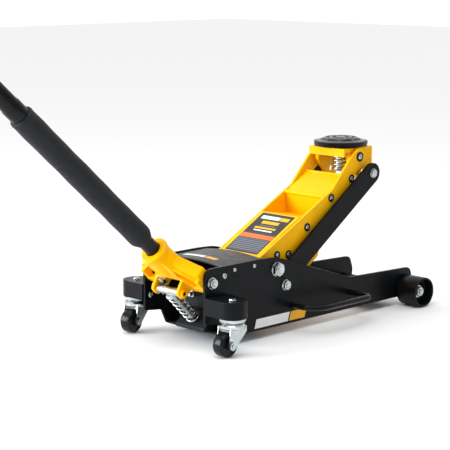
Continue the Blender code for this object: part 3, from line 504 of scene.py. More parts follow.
def thread_end(name, start, along, radius, length):
    """The end of a bolt's thread, with a ring groove for each turn."""
    core = radius - THREAD_DEPTH
    profile = [(0.0, length), (radius - THREAD_CHAMFER, length), (radius, length - THREAD_CHAMFER)]
    for n in range(int((length - THREAD_PLAIN) / THREAD_PITCH)):
        top = length - THREAD_PLAIN - n * THREAD_PITCH
        profile += [(radius, top), (core, top - THREAD_PITCH / 2)]
    profile += [(core, 0.0), (0.0, 0.0)]
    return lathe(name, profile, start, along, 32)


def hex_bolt(name, face, outward, flat, height, body, washer_radius=0.0, thread=0.0, replaces=()):
    """A bolt head or nut on a face, with an optional washer under it and thread end through it. Its
    flat is the distance from its middle to one of its six sides."""
    outward = Vector(outward)
    start = Vector(face)
    shells = []
    if washer_radius:
        shells.append(washer(name + "_washer", start, outward, washer_radius, flat * 0.4, WASHER_HEIGHT))
        start = start + outward * (WASHER_HEIGHT - WASHER_SUNK)
    shells.append(hex_head(name + "_head", start, outward, flat, height))
    if thread:
        thread_start = start + outward * (height - THREAD_SUNK)
        shells.append(thread_end(name + "_thread", thread_start, outward, flat * 0.58, thread))
    return piece(name, join_meshes(name, shells), ZINC, body, replaces, 25.0)


def button_screw(name, face, outward, radius, body):
    """A low domed screw with a socket sunk in its head."""
    height = radius * 0.45
    top = height * 0.96
    socket = radius * 0.42
    socket_floor = height * 0.35
    profile = [(0.0, socket_floor), (socket, socket_floor), (socket, top)]
    for n in range(7):
        angle = math.pi / 2 * n / 6
        profile.append((socket + (radius - socket) * math.sin(angle), top * math.cos(angle) + 0.0001))
    profile += [(radius, 0.0), (0.0, 0.0)]
    return piece(name, lathe(name, profile, Vector(face), Vector(outward), 32), ZINC, body)


def rounded_outline(corners, radius, steps=3):
    """An outline through (x, y) corners, each turned into an arc."""
    points = []
    for n, corner in enumerate(corners):
        here = Vector(corner)
        back = (Vector(corners[n - 1]) - here).normalized()
        ahead = (Vector(corners[(n + 1) % len(corners)]) - here).normalized()
        half = math.acos(back.dot(ahead)) / 2
        middle = here + (back + ahead).normalized() * radius / math.sin(half)
        first = here + back * radius / math.tan(half) - middle
        last = here + ahead * radius / math.tan(half) - middle
        swing = first.angle_signed(last)
        for step in range(steps + 1):
            points.append(middle + Matrix.Rotation(-swing * step / steps, 2) @ first)
    return points


# ---------------------------------------------------------------- sheet metal, castings and plain metal

SHEET_AND_CAST_NODES = [
    ("side_plate_right", 0.0012, BLACK),
    ("side_plate_left", 0.0012, BLACK),
    ("rear_bottom_plate", 0.0008, CAST_BLACK),
    ("front_cross_plate", 0.0008, BLACK),
    ("top_cover", 0.0007, DARK_GREY),
    ("arm_plate_right", 0.0010, YELLOW),
    ("arm_plate_left", 0.0010, YELLOW),
    ("arm_lower_cover", 0.0008, YELLOW),
    ("arm_upper_cover", 0.0009, YELLOW),
    ("arm_pivot_tube", 0.0005, YELLOW),
    ("link_right", 0.0011, BLACK),
    ("link_left", 0.0011, BLACK),
    ("saddle_head", 0.0020, YELLOW_CAST),
    ("power_unit_block", 0.0012, CAST_BLACK),
    ("oil_reservoir", 0.0010, BLACK),
    ("ram_crosshead", 0.0008, DARK_STEEL),
    ("caster_bracket_right", 0.0020, BLACK),
    ("caster_bracket_left", 0.0020, BLACK),
    ("caster_fork_right", 0.0006, ZINC),
    ("caster_fork_left", 0.0006, ZINC),
]

PLAIN_NODES = {
    "front_axle": DARK_STEEL,
    "carry_handle_right": BLACK_GLOSS,
    "carry_handle_left": BLACK_GLOSS,
    "main_pivot_shaft": ZINC,
    "pump_gland": ZINC,
    "release_valve_stem": ZINC,
    "ram_rod": STEEL,
    "ram_pin": STEEL,
    "pump_roller_pin": ZINC,
    "pump_plunger": STEEL,
    "handle_lower_tube": BLACK_GLOSS,
    "saddle_stem": ZINC,
}


def finish_cad_nodes():
    """Rounds the edges of the sheet and cast nodes, and gives the plain ones their material."""
    for node, width, material in SHEET_AND_CAST_NODES:
        refined(node, width, material)
    for node, material in PLAIN_NODES.items():
        mesh = NODES[node].data
        mesh.materials.clear()
        mesh.materials.append(material)


# ---------------------------------------------------------------- fasteners

COVER_SCREWS = ((0.1516, 0.1454, 0.0060), (0.1799, 0.1539, 0.0042), (0.2355, 0.1539, 0.0042))
ARM_SCREWS = ((0.332, 0.1583), (0.366, 0.1556), (0.423, 0.2055), (0.498, 0.2594), (0.563, 0.2943))


def chassis_fasteners():
    """The nuts and bolts on the side plates, the cover's screws and a small boss by each main nut."""
    for side, sign in SIDES:
        outward = Vector((0, sign, 0))
        for node, middle, flat, height, washer_radius, thread in (
            ("main_pivot_nut_", MAIN_PIVOT, 0.0130, 0.0085, 0.0150, 0.0042),
            ("link_pivot_bolt_", centre("link_pivot_bolt_" + side), 0.0088, 0.0060, 0.0112, 0.0024),
            ("socket_pivot_bolt_", centre("socket_pivot_bolt_" + side), 0.0092, 0.0062, 0.0118, 0.0024),
        ):
            name = node + side
            face = Vector((middle.x, sign * (PLATE_FACE + GAP), middle.z))
            hex_bolt(name + "_finish", face, outward, flat, height, "chassis", washer_radius, thread, [name])
        for number, (x, z, radius) in enumerate(COVER_SCREWS):
            name = "cover_screw_" + side + "_" + str(number + 1)
            button_screw(name, (x, sign * PLATE_FACE, z), outward, radius, "chassis")
        start = Vector((MAIN_PIVOT.x + 0.021, sign * (PLATE_FACE - 0.0002), MAIN_PIVOT.z - 0.012))
        profile = [(0.0, 0.006), (0.008, 0.006), (0.009, 0.005), (0.010, 0.0), (0.0, 0.0)]
        boss = lathe("side_boss_" + side, profile, start, outward)
        piece("side_boss_" + side, boss, BLACK, "chassis")


def arm_fasteners():
    """Socket screws in rings of painted shade along each arm plate, and the bolts at the saddle head."""
    for side, sign in SIDES:
        outward = Vector((0, sign, 0))
        for number, (x, z) in enumerate(ARM_SCREWS):
            name = "arm_screw_" + side + "_" + str(number + 1)
            face = Vector((x, sign * ARM_FACE, z))
            # Each ring is a thin raised washer in near-black: painted shade of a recess round the screw.
            ring = washer(name + "_shade_ring", face, outward, radius=0.0088, bore=0.0052, height=0.0016)
            piece(name + "_shade_ring", ring, RECESS_SHADE, "lift_arm")
            button_screw(name, face, outward, 0.0056, "lift_arm")
        name = "arm_head_bolt_" + side
        head = centre(name)
        face = Vector((head.x, sign * (ARM_FACE + GAP), head.z))
        # The same ring of painted shade round the head bolt.
        ring = washer(name + "_shade_ring", face, outward, radius=0.0104, bore=0.0064, height=0.0020)
        piece(name + "_shade_ring", ring, RECESS_SHADE, "lift_arm")
        screw = button_screw(name + "_finish", face, outward, 0.0070, "lift_arm")
        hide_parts(name)
        name = "link_head_bolt_" + side
        link = centre(name)
        outer_end = max(abs(corner.y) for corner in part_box(name))
        face = Vector((link.x, sign * (outer_end - 0.0040), link.z))
        hex_bolt(
            name + "_finish", face, outward, flat=0.0080, height=0.0036,
            body="saddle_head", washer_radius=0.0100, replaces=[name],
        )


# ---------------------------------------------------------------- saddle


def finish_saddle():
    """A turned cup with a rolled rim."""
    low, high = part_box("saddle")
    middle = centre("saddle")
    radius = high.x - middle.x
    height = high.z - low.z
    rim = [
        (0.0, 0.0),
        (radius - 0.006, 0.0),
        (radius - 0.0025, 0.0012),
        (radius - 0.0006, 0.0036),
        (radius - 0.0006, height - 0.0040),
        (radius, height - 0.0032),
        (radius, height - 0.0010),
        (radius - 0.0010, height),
        (radius - 0.0042, height),
        (radius - 0.0050, height - 0.0010),
        (radius - 0.0052, 0.0058),
        (0.0, 0.0058),
    ]
    cup = lathe("saddle_cup", rim[::-1], Vector((middle.x, middle.y, low.z)), UP, 96)
    piece("saddle_cup", cup, BLACK, "saddle", ["saddle"])


def finish_saddle_pad():
    """The rubber pad with its curved ridges, with painted shade down in the grooves."""
    low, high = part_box("saddle_pad")
    middle = centre("saddle")
    start = Vector((middle.x, middle.y, low.z))
    radius = high.x - middle.x
    height = high.z - low.z
    sides = 120
    rings = 56
    vertices = []
    for ring in range(rings + 1):
        distance = radius * ring / rings
        for angle in full_turn(sides):
            level = height + pad_relief(distance / radius, angle)
            vertices.append(start + circle_point(distance, angle, level))
    edge = len(vertices)
    vertices += [start + circle_point(radius, angle) for angle in full_turn(sides)]
    faces = [tuple(range(edge, edge + sides))]
    for first in range(0, edge, sides):
        faces += band(first, first + sides, sides)
    pad = without_slivers(closed_mesh("saddle_pad_ridged", vertices, faces))
    piece("saddle_pad_ridged", pad, PAD_RUBBER, "saddle", ["saddle_pad"], 60.0)
    # The ridges keep the paler saddle rubber, which partly stands for their sheen; faces down in the grooves
    # take the near-black rubber as painted shade.
    pad.materials.append(RUBBER)
    for face in pad.polygons:
        offset = (face.center - start).xy
        if groove_depth(offset.length / radius, math.atan2(offset.y, offset.x)) > 0.5:
            face.material_index = 1


CROWN_FALL = 0.0012
FLANK_FALL = 0.0068
GROOVE_FALL = 0.0028


def smooth_step(value, low, high):
    """Rises smoothly from 0 at low to 1 at high."""
    share = max(0.0, min(1.0, (value - low) / (high - low)))
    return share * share * (3 - 2 * share)


def pad_relief(share, angle):
    """How far the pad's face is below its highest point at a share of its radius: a crowned middle
    with curved grooves, and a flank that falls to the cup's rim."""
    crown = CROWN_FALL * share * share
    flank = FLANK_FALL * smooth_step(share, 0.62, 0.97)
    return -(crown + flank) - GROOVE_FALL * groove_depth(share, angle)


def ring_groove(share, inner, outer):
    """A groove all round the pad, with sloping walls, between two shares of its radius."""
    wall = 0.04
    return smooth_step(share, inner, inner + wall) * (1 - smooth_step(share, outer - wall, outer))


def groove_depth(share, angle):
    """From 0 on a ridge to 1 in a groove of the pad's face. Two of the three rings have bridges."""
    outer_groove = ring_groove(share, 0.70, 0.84)
    middle_groove = ring_groove(share, 0.46, 0.62)
    inner_groove = ring_groove(share, 0.20, 0.38)
    middle_bridges = 1 - smooth_step(abs(math.sin(3 * angle)), 0.25, 0.40)
    outer_bridges = 1 - smooth_step(abs(math.sin(4 * angle + 0.5)), 0.20, 0.35)
    return outer_groove * (1 - outer_bridges) + middle_groove * (1 - middle_bridges) + inner_groove


def head_spring():
    """The coil of thick wire round the saddle's stem, under the head's top."""
    low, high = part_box("saddle_stem")
    middle = centre("saddle_stem")
    wire = 0.0028
    radius = (high.x - low.x) / 2 + wire + 0.0002
    bottom = Vector((middle.x, 0.0, low.z + 0.002))
    top = Vector((middle.x, 0.0, 0.3440))
    spring = coil(
        "saddle_stem_spring", bottom, top, FORWARD, LEFT, radius, wire, turns=4.6, steps_per_turn=28
    )
    piece("saddle_stem_spring", spring, ZINC, "saddle_head")


# ---------------------------------------------------------------- pump and handle


ALONG_PLUNGER = Vector((0.7019, 0.0, -0.7122)).normalized()
SPRING_HEAD_END = 0.0151
SPRING_UNIT_END = 0.0947


def finish_pump_spring():
    """The return spring, which is squeezed between the power unit and the plunger's head."""
    roller = centre("pump_roller")
    head_end = roller + ALONG_PLUNGER * SPRING_HEAD_END
    unit_end = roller + ALONG_PLUNGER * SPRING_UNIT_END
    across = Vector((-ALONG_PLUNGER.z, 0.0, ALONG_PLUNGER.x))
    mesh = coil(
        "pump_spring_finish", head_end, unit_end, across, LEFT,
        radius=0.0122, wire=0.0019, turns=6.0, steps_per_turn=32,
    )
    spring = placed("pump_spring_finish", mesh)
    mesh.materials.append(ZINC)
    mesh.shade_smooth()
    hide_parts("pump_spring")
    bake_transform(spring)


def handle_point(along, below, y):
    return SOCKET_PIVOT + ALONG_HANDLE * along + BELOW_HANDLE * below + Vector((0.0, y, 0.0))


def handle_prism(name, outline, low, high):
    """A prism drawn on the casting's underside as (y, along) pairs, between two depths below the handle."""
    place = axes(SOCKET_PIVOT + BELOW_HANDLE * low, LEFT, ALONG_HANDLE, BELOW_HANDLE)
    return prism(name, outline, high - low, place)


def applied(made):
    """The mesh that an object's modifiers give. The object is removed."""
    bpy.context.view_layer.update()
    evaluated = made.evaluated_get(bpy.context.evaluated_depsgraph_get())
    mesh = bpy.data.meshes.new_from_object(evaluated)
    bpy.data.objects.remove(made, do_unlink=True)
    return mesh


COLLAR_LIP = (
    (0.0262, 0.0970), (0.0292, 0.0945), (0.0296, 0.0900), (0.0272, 0.0825), (0.0255, 0.0740),
)
SHOULDER = ((0.0340, 0.0580), (0.0760, 0.0270), (0.0900, 0.0270), (0.0900, 0.0800), (0.0340, 0.0800))
POCKET = ((0.0335, 0.0575), (0.0335, 0.0330), (0.0600, 0.0040), (0.0730, 0.0040), (0.0750, 0.0270))
BAY = ((-0.029, 0.020), (0.029, 0.020), (0.024, -0.020), (-0.024, -0.020))
BELOW_CASTING = 0.03
VOXEL = 0.0010


def socket_tools():
    """The solids that are added to the handle's casting, and those that are cut from it."""
    roller = centre("pump_roller")
    bore = half_width("handle_lower_tube") + GAP
    lip = [(bore, COLLAR_LIP[0][1]), *COLLAR_LIP, (bore, COLLAR_LIP[-1][1])]
    added = [lathe("collar_lip", lip, SOCKET_PIVOT, ALONG_HANDLE)]
    cutters = []
    for side, sign in SIDES:
        shoulder = [(sign * y, along) for y, along in SHOULDER]
        cutters.append(handle_prism("shoulder_" + side, shoulder, 0.0095, BELOW_CASTING))
        pocket = [(sign * y, along) for y, along in POCKET]
        cutters.append(handle_prism("pocket_" + side, pocket, 0.0030, BELOW_CASTING))
        start = Vector((roller.x, sign * 0.0395, roller.z))
        boss = [(0.0043, 0.006), (0.0075, 0.006), (0.0088, 0.0), (0.0043, 0.0)]
        added.append(lathe("boss_" + side, boss, start, (0, sign, 0)))
    cutters.append(handle_prism("bay", BAY, -0.020, BELOW_CASTING))
    return added, cutters


def finish_handle_socket():
    """The handle's casting: the CAD solid with its lip, ribs, lug bosses and pockets, blended as a
    sand casting is."""
    body = placed("handle_socket_finish", cad_mesh("handle_socket"))
    added, cutters = socket_tools()
    for number, mesh in enumerate(added + cutters):
        step = body.modifiers.new("step", "BOOLEAN")
        step.operation = "UNION" if number < len(added) else "DIFFERENCE"
        step.solver = "EXACT"
        step.object = placed(mesh.name, mesh)
    remesh = body.modifiers.new("cast", "REMESH")
    remesh.mode = "VOXEL"
    remesh.voxel_size = VOXEL
    blend = body.modifiers.new("blend", "SMOOTH")
    blend.factor = 0.5
    blend.iterations = 4
    tools = [m.object for m in body.modifiers if m.type == "BOOLEAN"]
    mesh = applied(body)
    for tool in tools:
        bpy.data.objects.remove(tool, do_unlink=True)
    piece("handle_socket_finish", mesh, YELLOW_CAST, "handle_socket", ["handle_socket"], 80.0)
    roller = centre("pump_roller")
    # A thin near-black disc at each end of the roller pin: painted shade where the pin's hole is.
    for side, sign in SIDES:
        start = Vector((roller.x, sign * 0.0420, roller.z))
        profile = [(0.0, 0.0010), (0.0040, 0.0010), (0.0040, 0.0), (0.0, 0.0)]
        hole = lathe("roller_pin_hole_shade_" + side, profile, start, (0, sign, 0), 24)
        piece("roller_pin_hole_shade_" + side, hole, RECESS_SHADE, "handle_socket")
    name = "handle_lock_bolt"
    start = handle_point(0.0160, 0.0208, centre(name).y)
    hex_bolt(
        name + "_finish", start, BELOW_HANDLE, flat=0.0082, height=0.0058,
        body="handle_socket", washer_radius=0.0112, thread=0.0018, replaces=[name],
    )


def finish_pump_roller():
    """A steel roller with a collar and a shallow groove near each end."""
    low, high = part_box("pump_roller")
    middle = (low + high) / 2
    half = (high.y - low.y) / 2
    radius = (high.z - low.z) / 2
    profile = [
        (0.0043, half),
        (radius - 0.0010, half),
        (radius, half - 0.0010),
        (radius, half - 0.0060),
        (radius - 0.0008, half - 0.0066),
        (radius - 0.0008, half - 0.0080),
        (radius, half - 0.0086),
    ]
    mirrored = [(r, -y) for r, y in reversed(profile)]
    roller = lathe("pump_roller_finish", profile + mirrored, middle, LEFT)
    piece("pump_roller_finish", roller, ZINC, "pump_roller", ["pump_roller"])


SLEEVE_START, SLEEVE_END = 0.130, 0.520
TUBE_END = 1.1465
GRIP_START, GRIP_END = 1.020, 1.1505
GRIP_FLOOR = 1.1468
GRIP_RIBS = 22
RIB_DEPTH = 0.0011


def finish_handle_sleeve():
    """The foam sleeve, a little uneven along its length, with rounded ends."""
    radius = half_width("handle_sleeve")
    bore = half_width("handle_lower_tube") + GAP
    shoulder = 0.005
    profile = [(bore, SLEEVE_END), (radius - 0.0050, SLEEVE_END)]
    profile += round_over(radius, SLEEVE_END, shoulder, 5)
    steps = 60
    for n in range(1, steps):
        distance = SLEEVE_END - shoulder - (SLEEVE_END - SLEEVE_START - 0.015) * n / steps
        swell = 0.00025 * math.sin(distance * 95.0) + 0.0002 * math.sin(distance * 41.0 + 1.0)
        profile.append((radius - 0.0004 + swell, distance))
    profile += [
        (radius - 0.0008, SLEEVE_START + 0.010),
        (radius - 0.0038, SLEEVE_START + 0.0040),
        (radius - 0.0050, SLEEVE_START + 0.0005),
        (radius - 0.0056, SLEEVE_START),
        (bore, SLEEVE_START),
    ]
    sleeve = lathe("handle_sleeve_foam", profile, SOCKET_PIVOT, ALONG_HANDLE, 72)
    foam = piece("handle_sleeve_foam", sleeve, FOAM, "handle", ["handle_sleeve"])


def finish_handle_tube():
    """The upper tube, with a thicker collar where it meets the sleeve."""
    radius = half_width("handle_upper_tube")
    bore = half_width("handle_lower_tube") + GAP
    start = SLEEVE_END + GAP
    profile = [
        (bore, TUBE_END),
        (radius, TUBE_END),
        (radius, start + 0.030),
        (radius + 0.0012, start + 0.028),
        (radius + 0.0012, start + 0.0012),
        (radius, start),
        (bore, start),
    ]
    tube = lathe("handle_upper_tube_finish", profile, SOCKET_PIVOT, ALONG_HANDLE, 72)
    piece("handle_upper_tube_finish", tube, BLACK_GLOSS, "handle", ["handle_upper_tube"])


def finish_handle_grip():
    """The grip with its rings of ribs and a closed end."""
    radius = half_width("handle_grip")
    bore = half_width("handle_upper_tube") + GAP
    profile = [(0.0, GRIP_END), *round_over(radius, GRIP_END, 0.006, 6)]
    pitch = (GRIP_END - GRIP_START - 0.020) / GRIP_RIBS
    for n in range(GRIP_RIBS):
        top = GRIP_END - 0.010 - n * pitch
        profile += [
            (radius, top),
            (radius - RIB_DEPTH, top - pitch * 0.30),
            (radius - RIB_DEPTH, top - pitch * 0.55),
            (radius, top - pitch * 0.85),
        ]
    profile += [
        (radius, GRIP_START + 0.004),
        (radius - 0.0010, GRIP_START),
        (bore, GRIP_START),
        (bore, GRIP_FLOOR),
        (0.0, GRIP_FLOOR),
    ]
    grip = lathe("handle_grip_ribbed", profile, SOCKET_PIVOT, ALONG_HANDLE, 72)
    piece("handle_grip_ribbed", grip, RUBBER, "handle", ["handle_grip"])


# ---------------------------------------------------------------- wheels


def finish_front_rollers():
    """Rollers with a deep cup on the outside, and the axle's nut at the bottom of it."""
    for side, sign in SIDES:
        name = "front_roller_" + side
        low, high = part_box(name)
        radius = (high.z - low.z) / 2
        inner, outer = sorted((abs(low.y), abs(high.y)))
        width = outer - inner
        cup = width - 0.0214
        bore = 0.0100
        wall = 0.0040
        profile = [
            (radius - wall, width - 0.0010),
            (radius - wall + 0.0010, width),
            (radius - 0.0016, width),
            (radius - 0.0004, width - 0.0006),
            (radius, width - 0.0018),
            (radius, 0.0018),
            (radius - 0.0018, 0.0),
            (bore, 0.0),
            (bore, cup + 0.0025),
            (0.0165, cup + 0.0025),
            (0.0175, cup + 0.0010),
            (radius - wall - 0.0030, cup),
            (radius - wall - 0.0006, cup + 0.0012),
            (radius - wall, cup + 0.0035),
        ]
        middle = centre(name)
        start = Vector((middle.x, sign * inner, middle.z))
        roller = lathe(name + "_finish", profile, start, (0, sign, 0), 96)
        piece(name + "_finish", roller, BLACK_GLOSS, name, [name])
        nut_face = Vector((middle.x, sign * (inner + cup + 0.0028), middle.z))
        hex_bolt(
            "front_axle_nut_" + side, nut_face, (0, sign, 0), flat=0.0100, height=0.0066,
            body="chassis", washer_radius=0.0140, thread=0.0030,
        )


BEARING_PROFILE = (
    (0.0, 0.1120), (0.0030, 0.1120), (0.0052, 0.1108), (0.0055, 0.0900), (0.0055, 0.0747),
    (0.0262, 0.0747), (0.0270, 0.0742), (0.0272, 0.0722), (0.0262, 0.0690), (0.0238, 0.0660),
    (0.0225, 0.0652), (0.0055, 0.0652), (0.0055, 0.0538), (0.0090, 0.0538), (0.0092, 0.0506),
    (0.0, 0.0502),
)
BRACKET_BOLTS = ((0.114, 0.0860), (0.150, 0.0860))
WHEEL_HALF = 0.0128
FORK_FACE = 0.0168 + 0.00125 + GAP


def finish_caster_wheel(side, hub, axle):
    """A plastic wheel with a raised hub, a sunk web and a rounded tread."""
    name = "caster_wheel_" + side
    half = WHEEL_HALF
    profile = [
        (0.0045, half + 0.0020),
        (0.0085, half + 0.0018),
        (0.0095, half - 0.0020),
        (0.0165, half - 0.0022),
        (0.0178, half - 0.0004),
        *round_over(hub.z - 0.0004, half, 0.0048, 8),
        (hub.z, half * 0.30),
    ]
    mirrored = [(r, -y) for r, y in reversed(profile)]
    wheel = lathe(name + "_finish", profile + mirrored, hub, axle, 96)
    piece(name + "_finish", wheel, PLASTIC, name, [name])


def finish_caster_axle(side, hub, axle):
    """The shaft through the fork, with its nut and thread end outside and its head inside."""
    name = "caster_axle_" + side
    shaft_profile = [(0.0, FORK_FACE), (0.0035, FORK_FACE), (0.0035, -FORK_FACE), (0.0, -FORK_FACE)]
    end_profile = [(0.0, 0.0076), (0.0034, 0.0076), (0.0040, 0.0068), (0.0040, 0.0046), (0.0, 0.0046)]
    face = axle * FORK_FACE
    shells = [
        lathe("caster_axle_shaft_" + side, shaft_profile, hub, axle, 24),
        hex_head("caster_nut_" + side, hub + face, axle, 0.0080, 0.0052),
        hex_head("caster_head_" + side, hub - face, -axle, 0.0068, 0.0035),
        lathe("caster_axle_end_" + side, end_profile, hub + face, axle, 24),
    ]
    mesh = join_meshes(name + "_finish", shells)
    piece(name + "_finish", mesh, ZINC, "caster_" + side, [name], 25.0)


def finish_casters():
    """The wheels, axles and king pins with their ball races, and the bolts of the brackets."""
    for side, sign in SIDES:
        hub = centre("caster_wheel_" + side)
        name = "caster_king_pin_" + side
        king = centre(name)
        trail = Vector((hub.x - king.x, hub.y - king.y, 0.0)).normalized()
        axle = Vector((trail.y, -trail.x, 0.0))
        if axle.y * sign < 0:
            axle = -axle
        finish_caster_wheel(side, hub, axle)
        finish_caster_axle(side, hub, axle)
        pin = lathe(name + "_finish", BEARING_PROFILE, Vector((king.x, king.y, 0.0)), UP, 72)
        piece(name + "_finish", pin, ZINC, "chassis", [name])
        top = Vector((king.x, king.y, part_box("caster_bracket_" + side)[1].z))
        hex_bolt(
            "caster_bracket_bolt_" + side, top, UP, flat=0.0055, height=0.0022,
            body="chassis", washer_radius=0.0080,
        )
        for number, (x, z) in enumerate(BRACKET_BOLTS):
            bolt = "bracket_bolt_" + side + "_" + str(number + 1)
            button_screw(bolt, (x, sign * PLATE_INNER, z), (0, -sign, 0), 0.0062, "chassis")


# ---------------------------------------------------------------- printed marks, all blank

PRINT = 0.0003
RAISED = 0.0002


def printed_sheet(name, outline, place, material, body, thickness):
    piece(name, prism(name, outline, thickness, place), material, body)


def rectangle(left, right, low, high):
    return [(left, low), (right, low), (right, high), (left, high)]


def plate_stripes():
    """A blank two-tone stripe low on each side plate, with leaning ends."""
    lean = 0.006
    low, high = 0.0235, 0.0425
    for side, sign in SIDES:
        place = axes((0.0, sign * (PLATE_FACE - 0.0001), 0.0), FORWARD, UP, LEFT * sign)
        for tone, start, end, material in (
            ("white", 0.236, 0.334, WHITE_PRINT),
            ("yellow", 0.338, 0.385, YELLOW_PRINT),
        ):
            outline = [(start, low), (end, low), (end + lean, high), (start + lean, high)]
            printed_sheet("plate_stripe_" + tone + "_" + side, outline, place, material, "chassis", PRINT)


def cover_stripe():
    """The same stripe across the domed top cover, following its curve."""
    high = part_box("top_cover")[1]
    dome = 0.006
    rear, front = 0.176, 0.189
    section = [Vector((x, 0.0, z)) for x, z in ((rear, 0.0), (front, 0.0), (front, PRINT), (rear, PRINT))]
    steps = 12
    for tone, first, last, material in (
        ("white", 0.056, -0.004, WHITE_PRINT),
        ("yellow", -0.008, -0.038, YELLOW_PRINT),
    ):
        centres = []
        for n in range(steps + 1):
            y = first + (last - first) * n / steps
            z = high.z - dome + dome * math.cos(math.pi * y / (2 * high.y))
            centres.append(Vector((0.0, y, z)))
        name = "cover_stripe_" + tone
        piece(name, sweep(name, centres, [section] * len(centres)), material, "chassis")


def arm_label():
    """A blank panel on the arm's lower cover: black, with an orange band, a grey foot and plain bars."""
    start = on_arm(-0.0035, 0.0283)
    along = (on_arm(0.1395, 0.0130) - start).normalized()
    normal = Vector((-along.z, 0.0, along.x))
    place = axes(start, -LEFT, along, normal)
    half = 0.0470
    inset = half - 0.003
    panel = rounded_outline(rectangle(-half, half, 0.008, 0.1395), 0.002)
    printed_sheet("arm_label_panel", panel, place, LABEL_BLACK, "lift_arm", PRINT)
    raised = place @ Matrix.Translation((0.0, 0.0, RAISED))
    for name, left, right, low, high, material in (
        ("foot", -inset, inset, 0.0125, 0.0530, LABEL_GREY),
        ("band", -half, half, 0.0555, 0.0690, LABEL_ORANGE),
        ("bar_edge", -0.045, 0.045, 0.0712, 0.0740, LABEL_GREY),
        ("bar_low", -0.026, 0.026, 0.0800, 0.0840, WHITE_PRINT),
        ("bar_middle", -0.030, 0.030, 0.0880, 0.0935, YELLOW_PRINT),
        ("bar_upper", -0.022, 0.022, 0.0975, 0.1000, LABEL_GREY),
        ("bar_title", -0.024, 0.024, 0.1045, 0.1140, YELLOW_PRINT),
        ("bar_head_white", -0.038, 0.014, 0.1200, 0.1310, WHITE_PRINT),
        ("bar_head_yellow", 0.016, 0.040, 0.1200, 0.1310, YELLOW_PRINT),
    ):
        outline = rectangle(left, right, low, high)
        printed_sheet("arm_label_" + name, outline, raised, material, "lift_arm", RAISED)


def cover_lips():
    """The rolled rear edge of the arm's lower cover, the rounded folds of the upper one and the plain
    sheet that joins the two."""
    edge = on_arm(-0.0035, 0.0283) - UP * 0.0012
    reach = LEFT * (ARM_FACE - 0.0010)
    lip = bar_mesh("arm_cover_lip", edge - reach, edge + reach, 0.0024)
    piece("arm_cover_lip", lip, YELLOW, "lift_arm")
    inside = ARM_INNER - GAP
    for fold, x, z, radius in (
        ("bend", 0.4838, 0.2618, 0.0048),
        ("top", 0.5478, 0.3010, 0.0034),
        ("foot", 0.4880, 0.2138, 0.0026),
    ):
        name = "upper_cover_" + fold
        bead = bar_mesh(name, Vector((x, -inside, z)), Vector((x, inside, z)), radius)
        piece(name, bead, YELLOW, "lift_arm")
    first = on_arm(0.1440, 0.0050)
    span = Vector((0.4890, 0.0, 0.2140)) - first
    along = span.normalized()
    place = axes(first, along, LEFT, along.cross(LEFT))
    web = rectangle(0.0, span.length, -inside, inside)
    piece("arm_inner_web", prism("arm_inner_web", web, 0.002, place), YELLOW, "lift_arm")


finish_cad_nodes()
chassis_fasteners()
arm_fasteners()
finish_saddle()
finish_saddle_pad()
head_spring()
finish_pump_spring()
finish_handle_socket()
finish_pump_roller()
finish_handle_sleeve()
finish_handle_tube()
finish_handle_grip()
finish_front_rollers()
finish_casters()
plate_stripes()
cover_stripe()
arm_label()
cover_lips()

# ---------------------------------------------------------------- floor, light and camera


def stage():
    """The pale floor."""
    reach, level = 12.0, -0.0005
    mesh = bpy.data.meshes.new("floor")
    corners = [(x, y, level) for x, y in rectangle(-reach, reach, -reach, reach)]
    mesh.from_pydata(corners, [], [(0, 1, 2, 3)])
    material, tree, shader = new_material("pale_floor", (0.93, 0.93, 0.93), 0.8)
    vary_roughness(tree, shader, add_noise(tree, 3.0), 0.75, 0.85)
    mesh.materials.append(material)
    placed("floor", mesh)


def area_light(name, location, target, size, power, color=(1.0, 1.0, 1.0)):
    data = bpy.data.lights.new(name, "AREA")
    data.color = color
    data.size = size
    data.energy = power
    lamp = placed(name, data)
    lamp.location = location
    lamp.rotation_mode = "QUATERNION"
    lamp.rotation_quaternion = (Vector(target) - Vector(location)).to_track_quat("-Z", "Y")


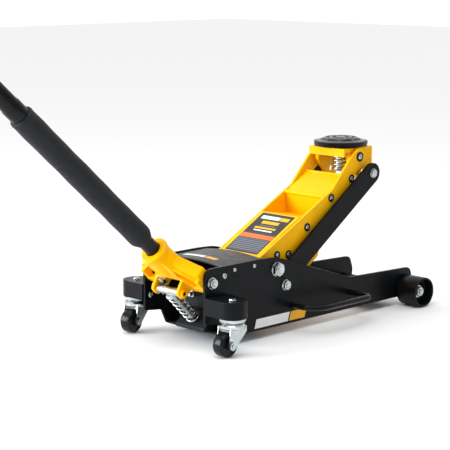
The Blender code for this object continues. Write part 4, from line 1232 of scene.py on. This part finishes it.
def studio_world():
    """White behind the jack and above it, and darker on its right, so that the right side stays deep
    black."""
    world = bpy.data.worlds.new("studio")
    bpy.context.scene.world = world
    world.use_nodes = True
    tree = world.node_tree
    background = tree.nodes["Background"]
    background.inputs["Color"].default_value = (1.0, 1.0, 1.0, 1.0)
    place = tree.nodes.new("ShaderNodeTexCoord")
    toward = tree.nodes.new("ShaderNodeVectorMath")
    toward.operation = "DOT_PRODUCT"
    toward.inputs[1].default_value = (0.10, 0.95, 0.30)
    spread = tree.nodes.new("ShaderNodeMapRange")
    spread.interpolation_type = "SMOOTHSTEP"
    spread.inputs["From Min"].default_value = -0.7
    spread.inputs["From Max"].default_value = 0.35
    spread.inputs["To Min"].default_value = 0.42
    spread.inputs["To Max"].default_value = 1.14
    tree.links.new(place.outputs["Generated"], toward.inputs[0])
    tree.links.new(toward.outputs["Value"], spread.inputs["Value"])
    tree.links.new(spread.outputs["Result"], background.inputs["Strength"])


def lights():
    bpy.context.scene.view_settings.view_transform = "Standard"
    studio_world()
    area_light("key", (-0.5, -0.6, 2.6), (0.2, 0.0, 0.1), size=1.6, power=25.0)
    pale_blue = (0.84, 0.91, 1.0)
    area_light("rear_left_panel", (-2.2, 1.5, 0.9), (0.0, 0.0, 0.15), size=1.6, power=95.0, color=pale_blue)


CAMERA_PLACE = Vector((-1.8705, -2.1589, 0.7593))
CAMERA_AIM = Vector((0.6888, 0.7037, -0.1742)).normalized()
CAMERA_ROLL = math.radians(-0.08)
FOCAL_LENGTH = 120.1
SENSOR_WIDTH = 36.0


def camera():
    """Stands behind and to the right of the jack, a little above it, and looks along its length."""
    data = bpy.data.cameras.new("camera")
    made = placed("camera", data)
    right = CAMERA_AIM.cross(UP).normalized()
    up = right.cross(CAMERA_AIM)
    across = right * math.cos(CAMERA_ROLL) + up * math.sin(CAMERA_ROLL)
    above = up * math.cos(CAMERA_ROLL) - right * math.sin(CAMERA_ROLL)
    made.matrix_world = axes(CAMERA_PLACE, across, above, -CAMERA_AIM)
    data.lens = FOCAL_LENGTH
    data.sensor_width = SENSOR_WIDTH
    data.clip_end = 100.0
    bpy.context.scene.camera = made


stage()
lights()
camera()
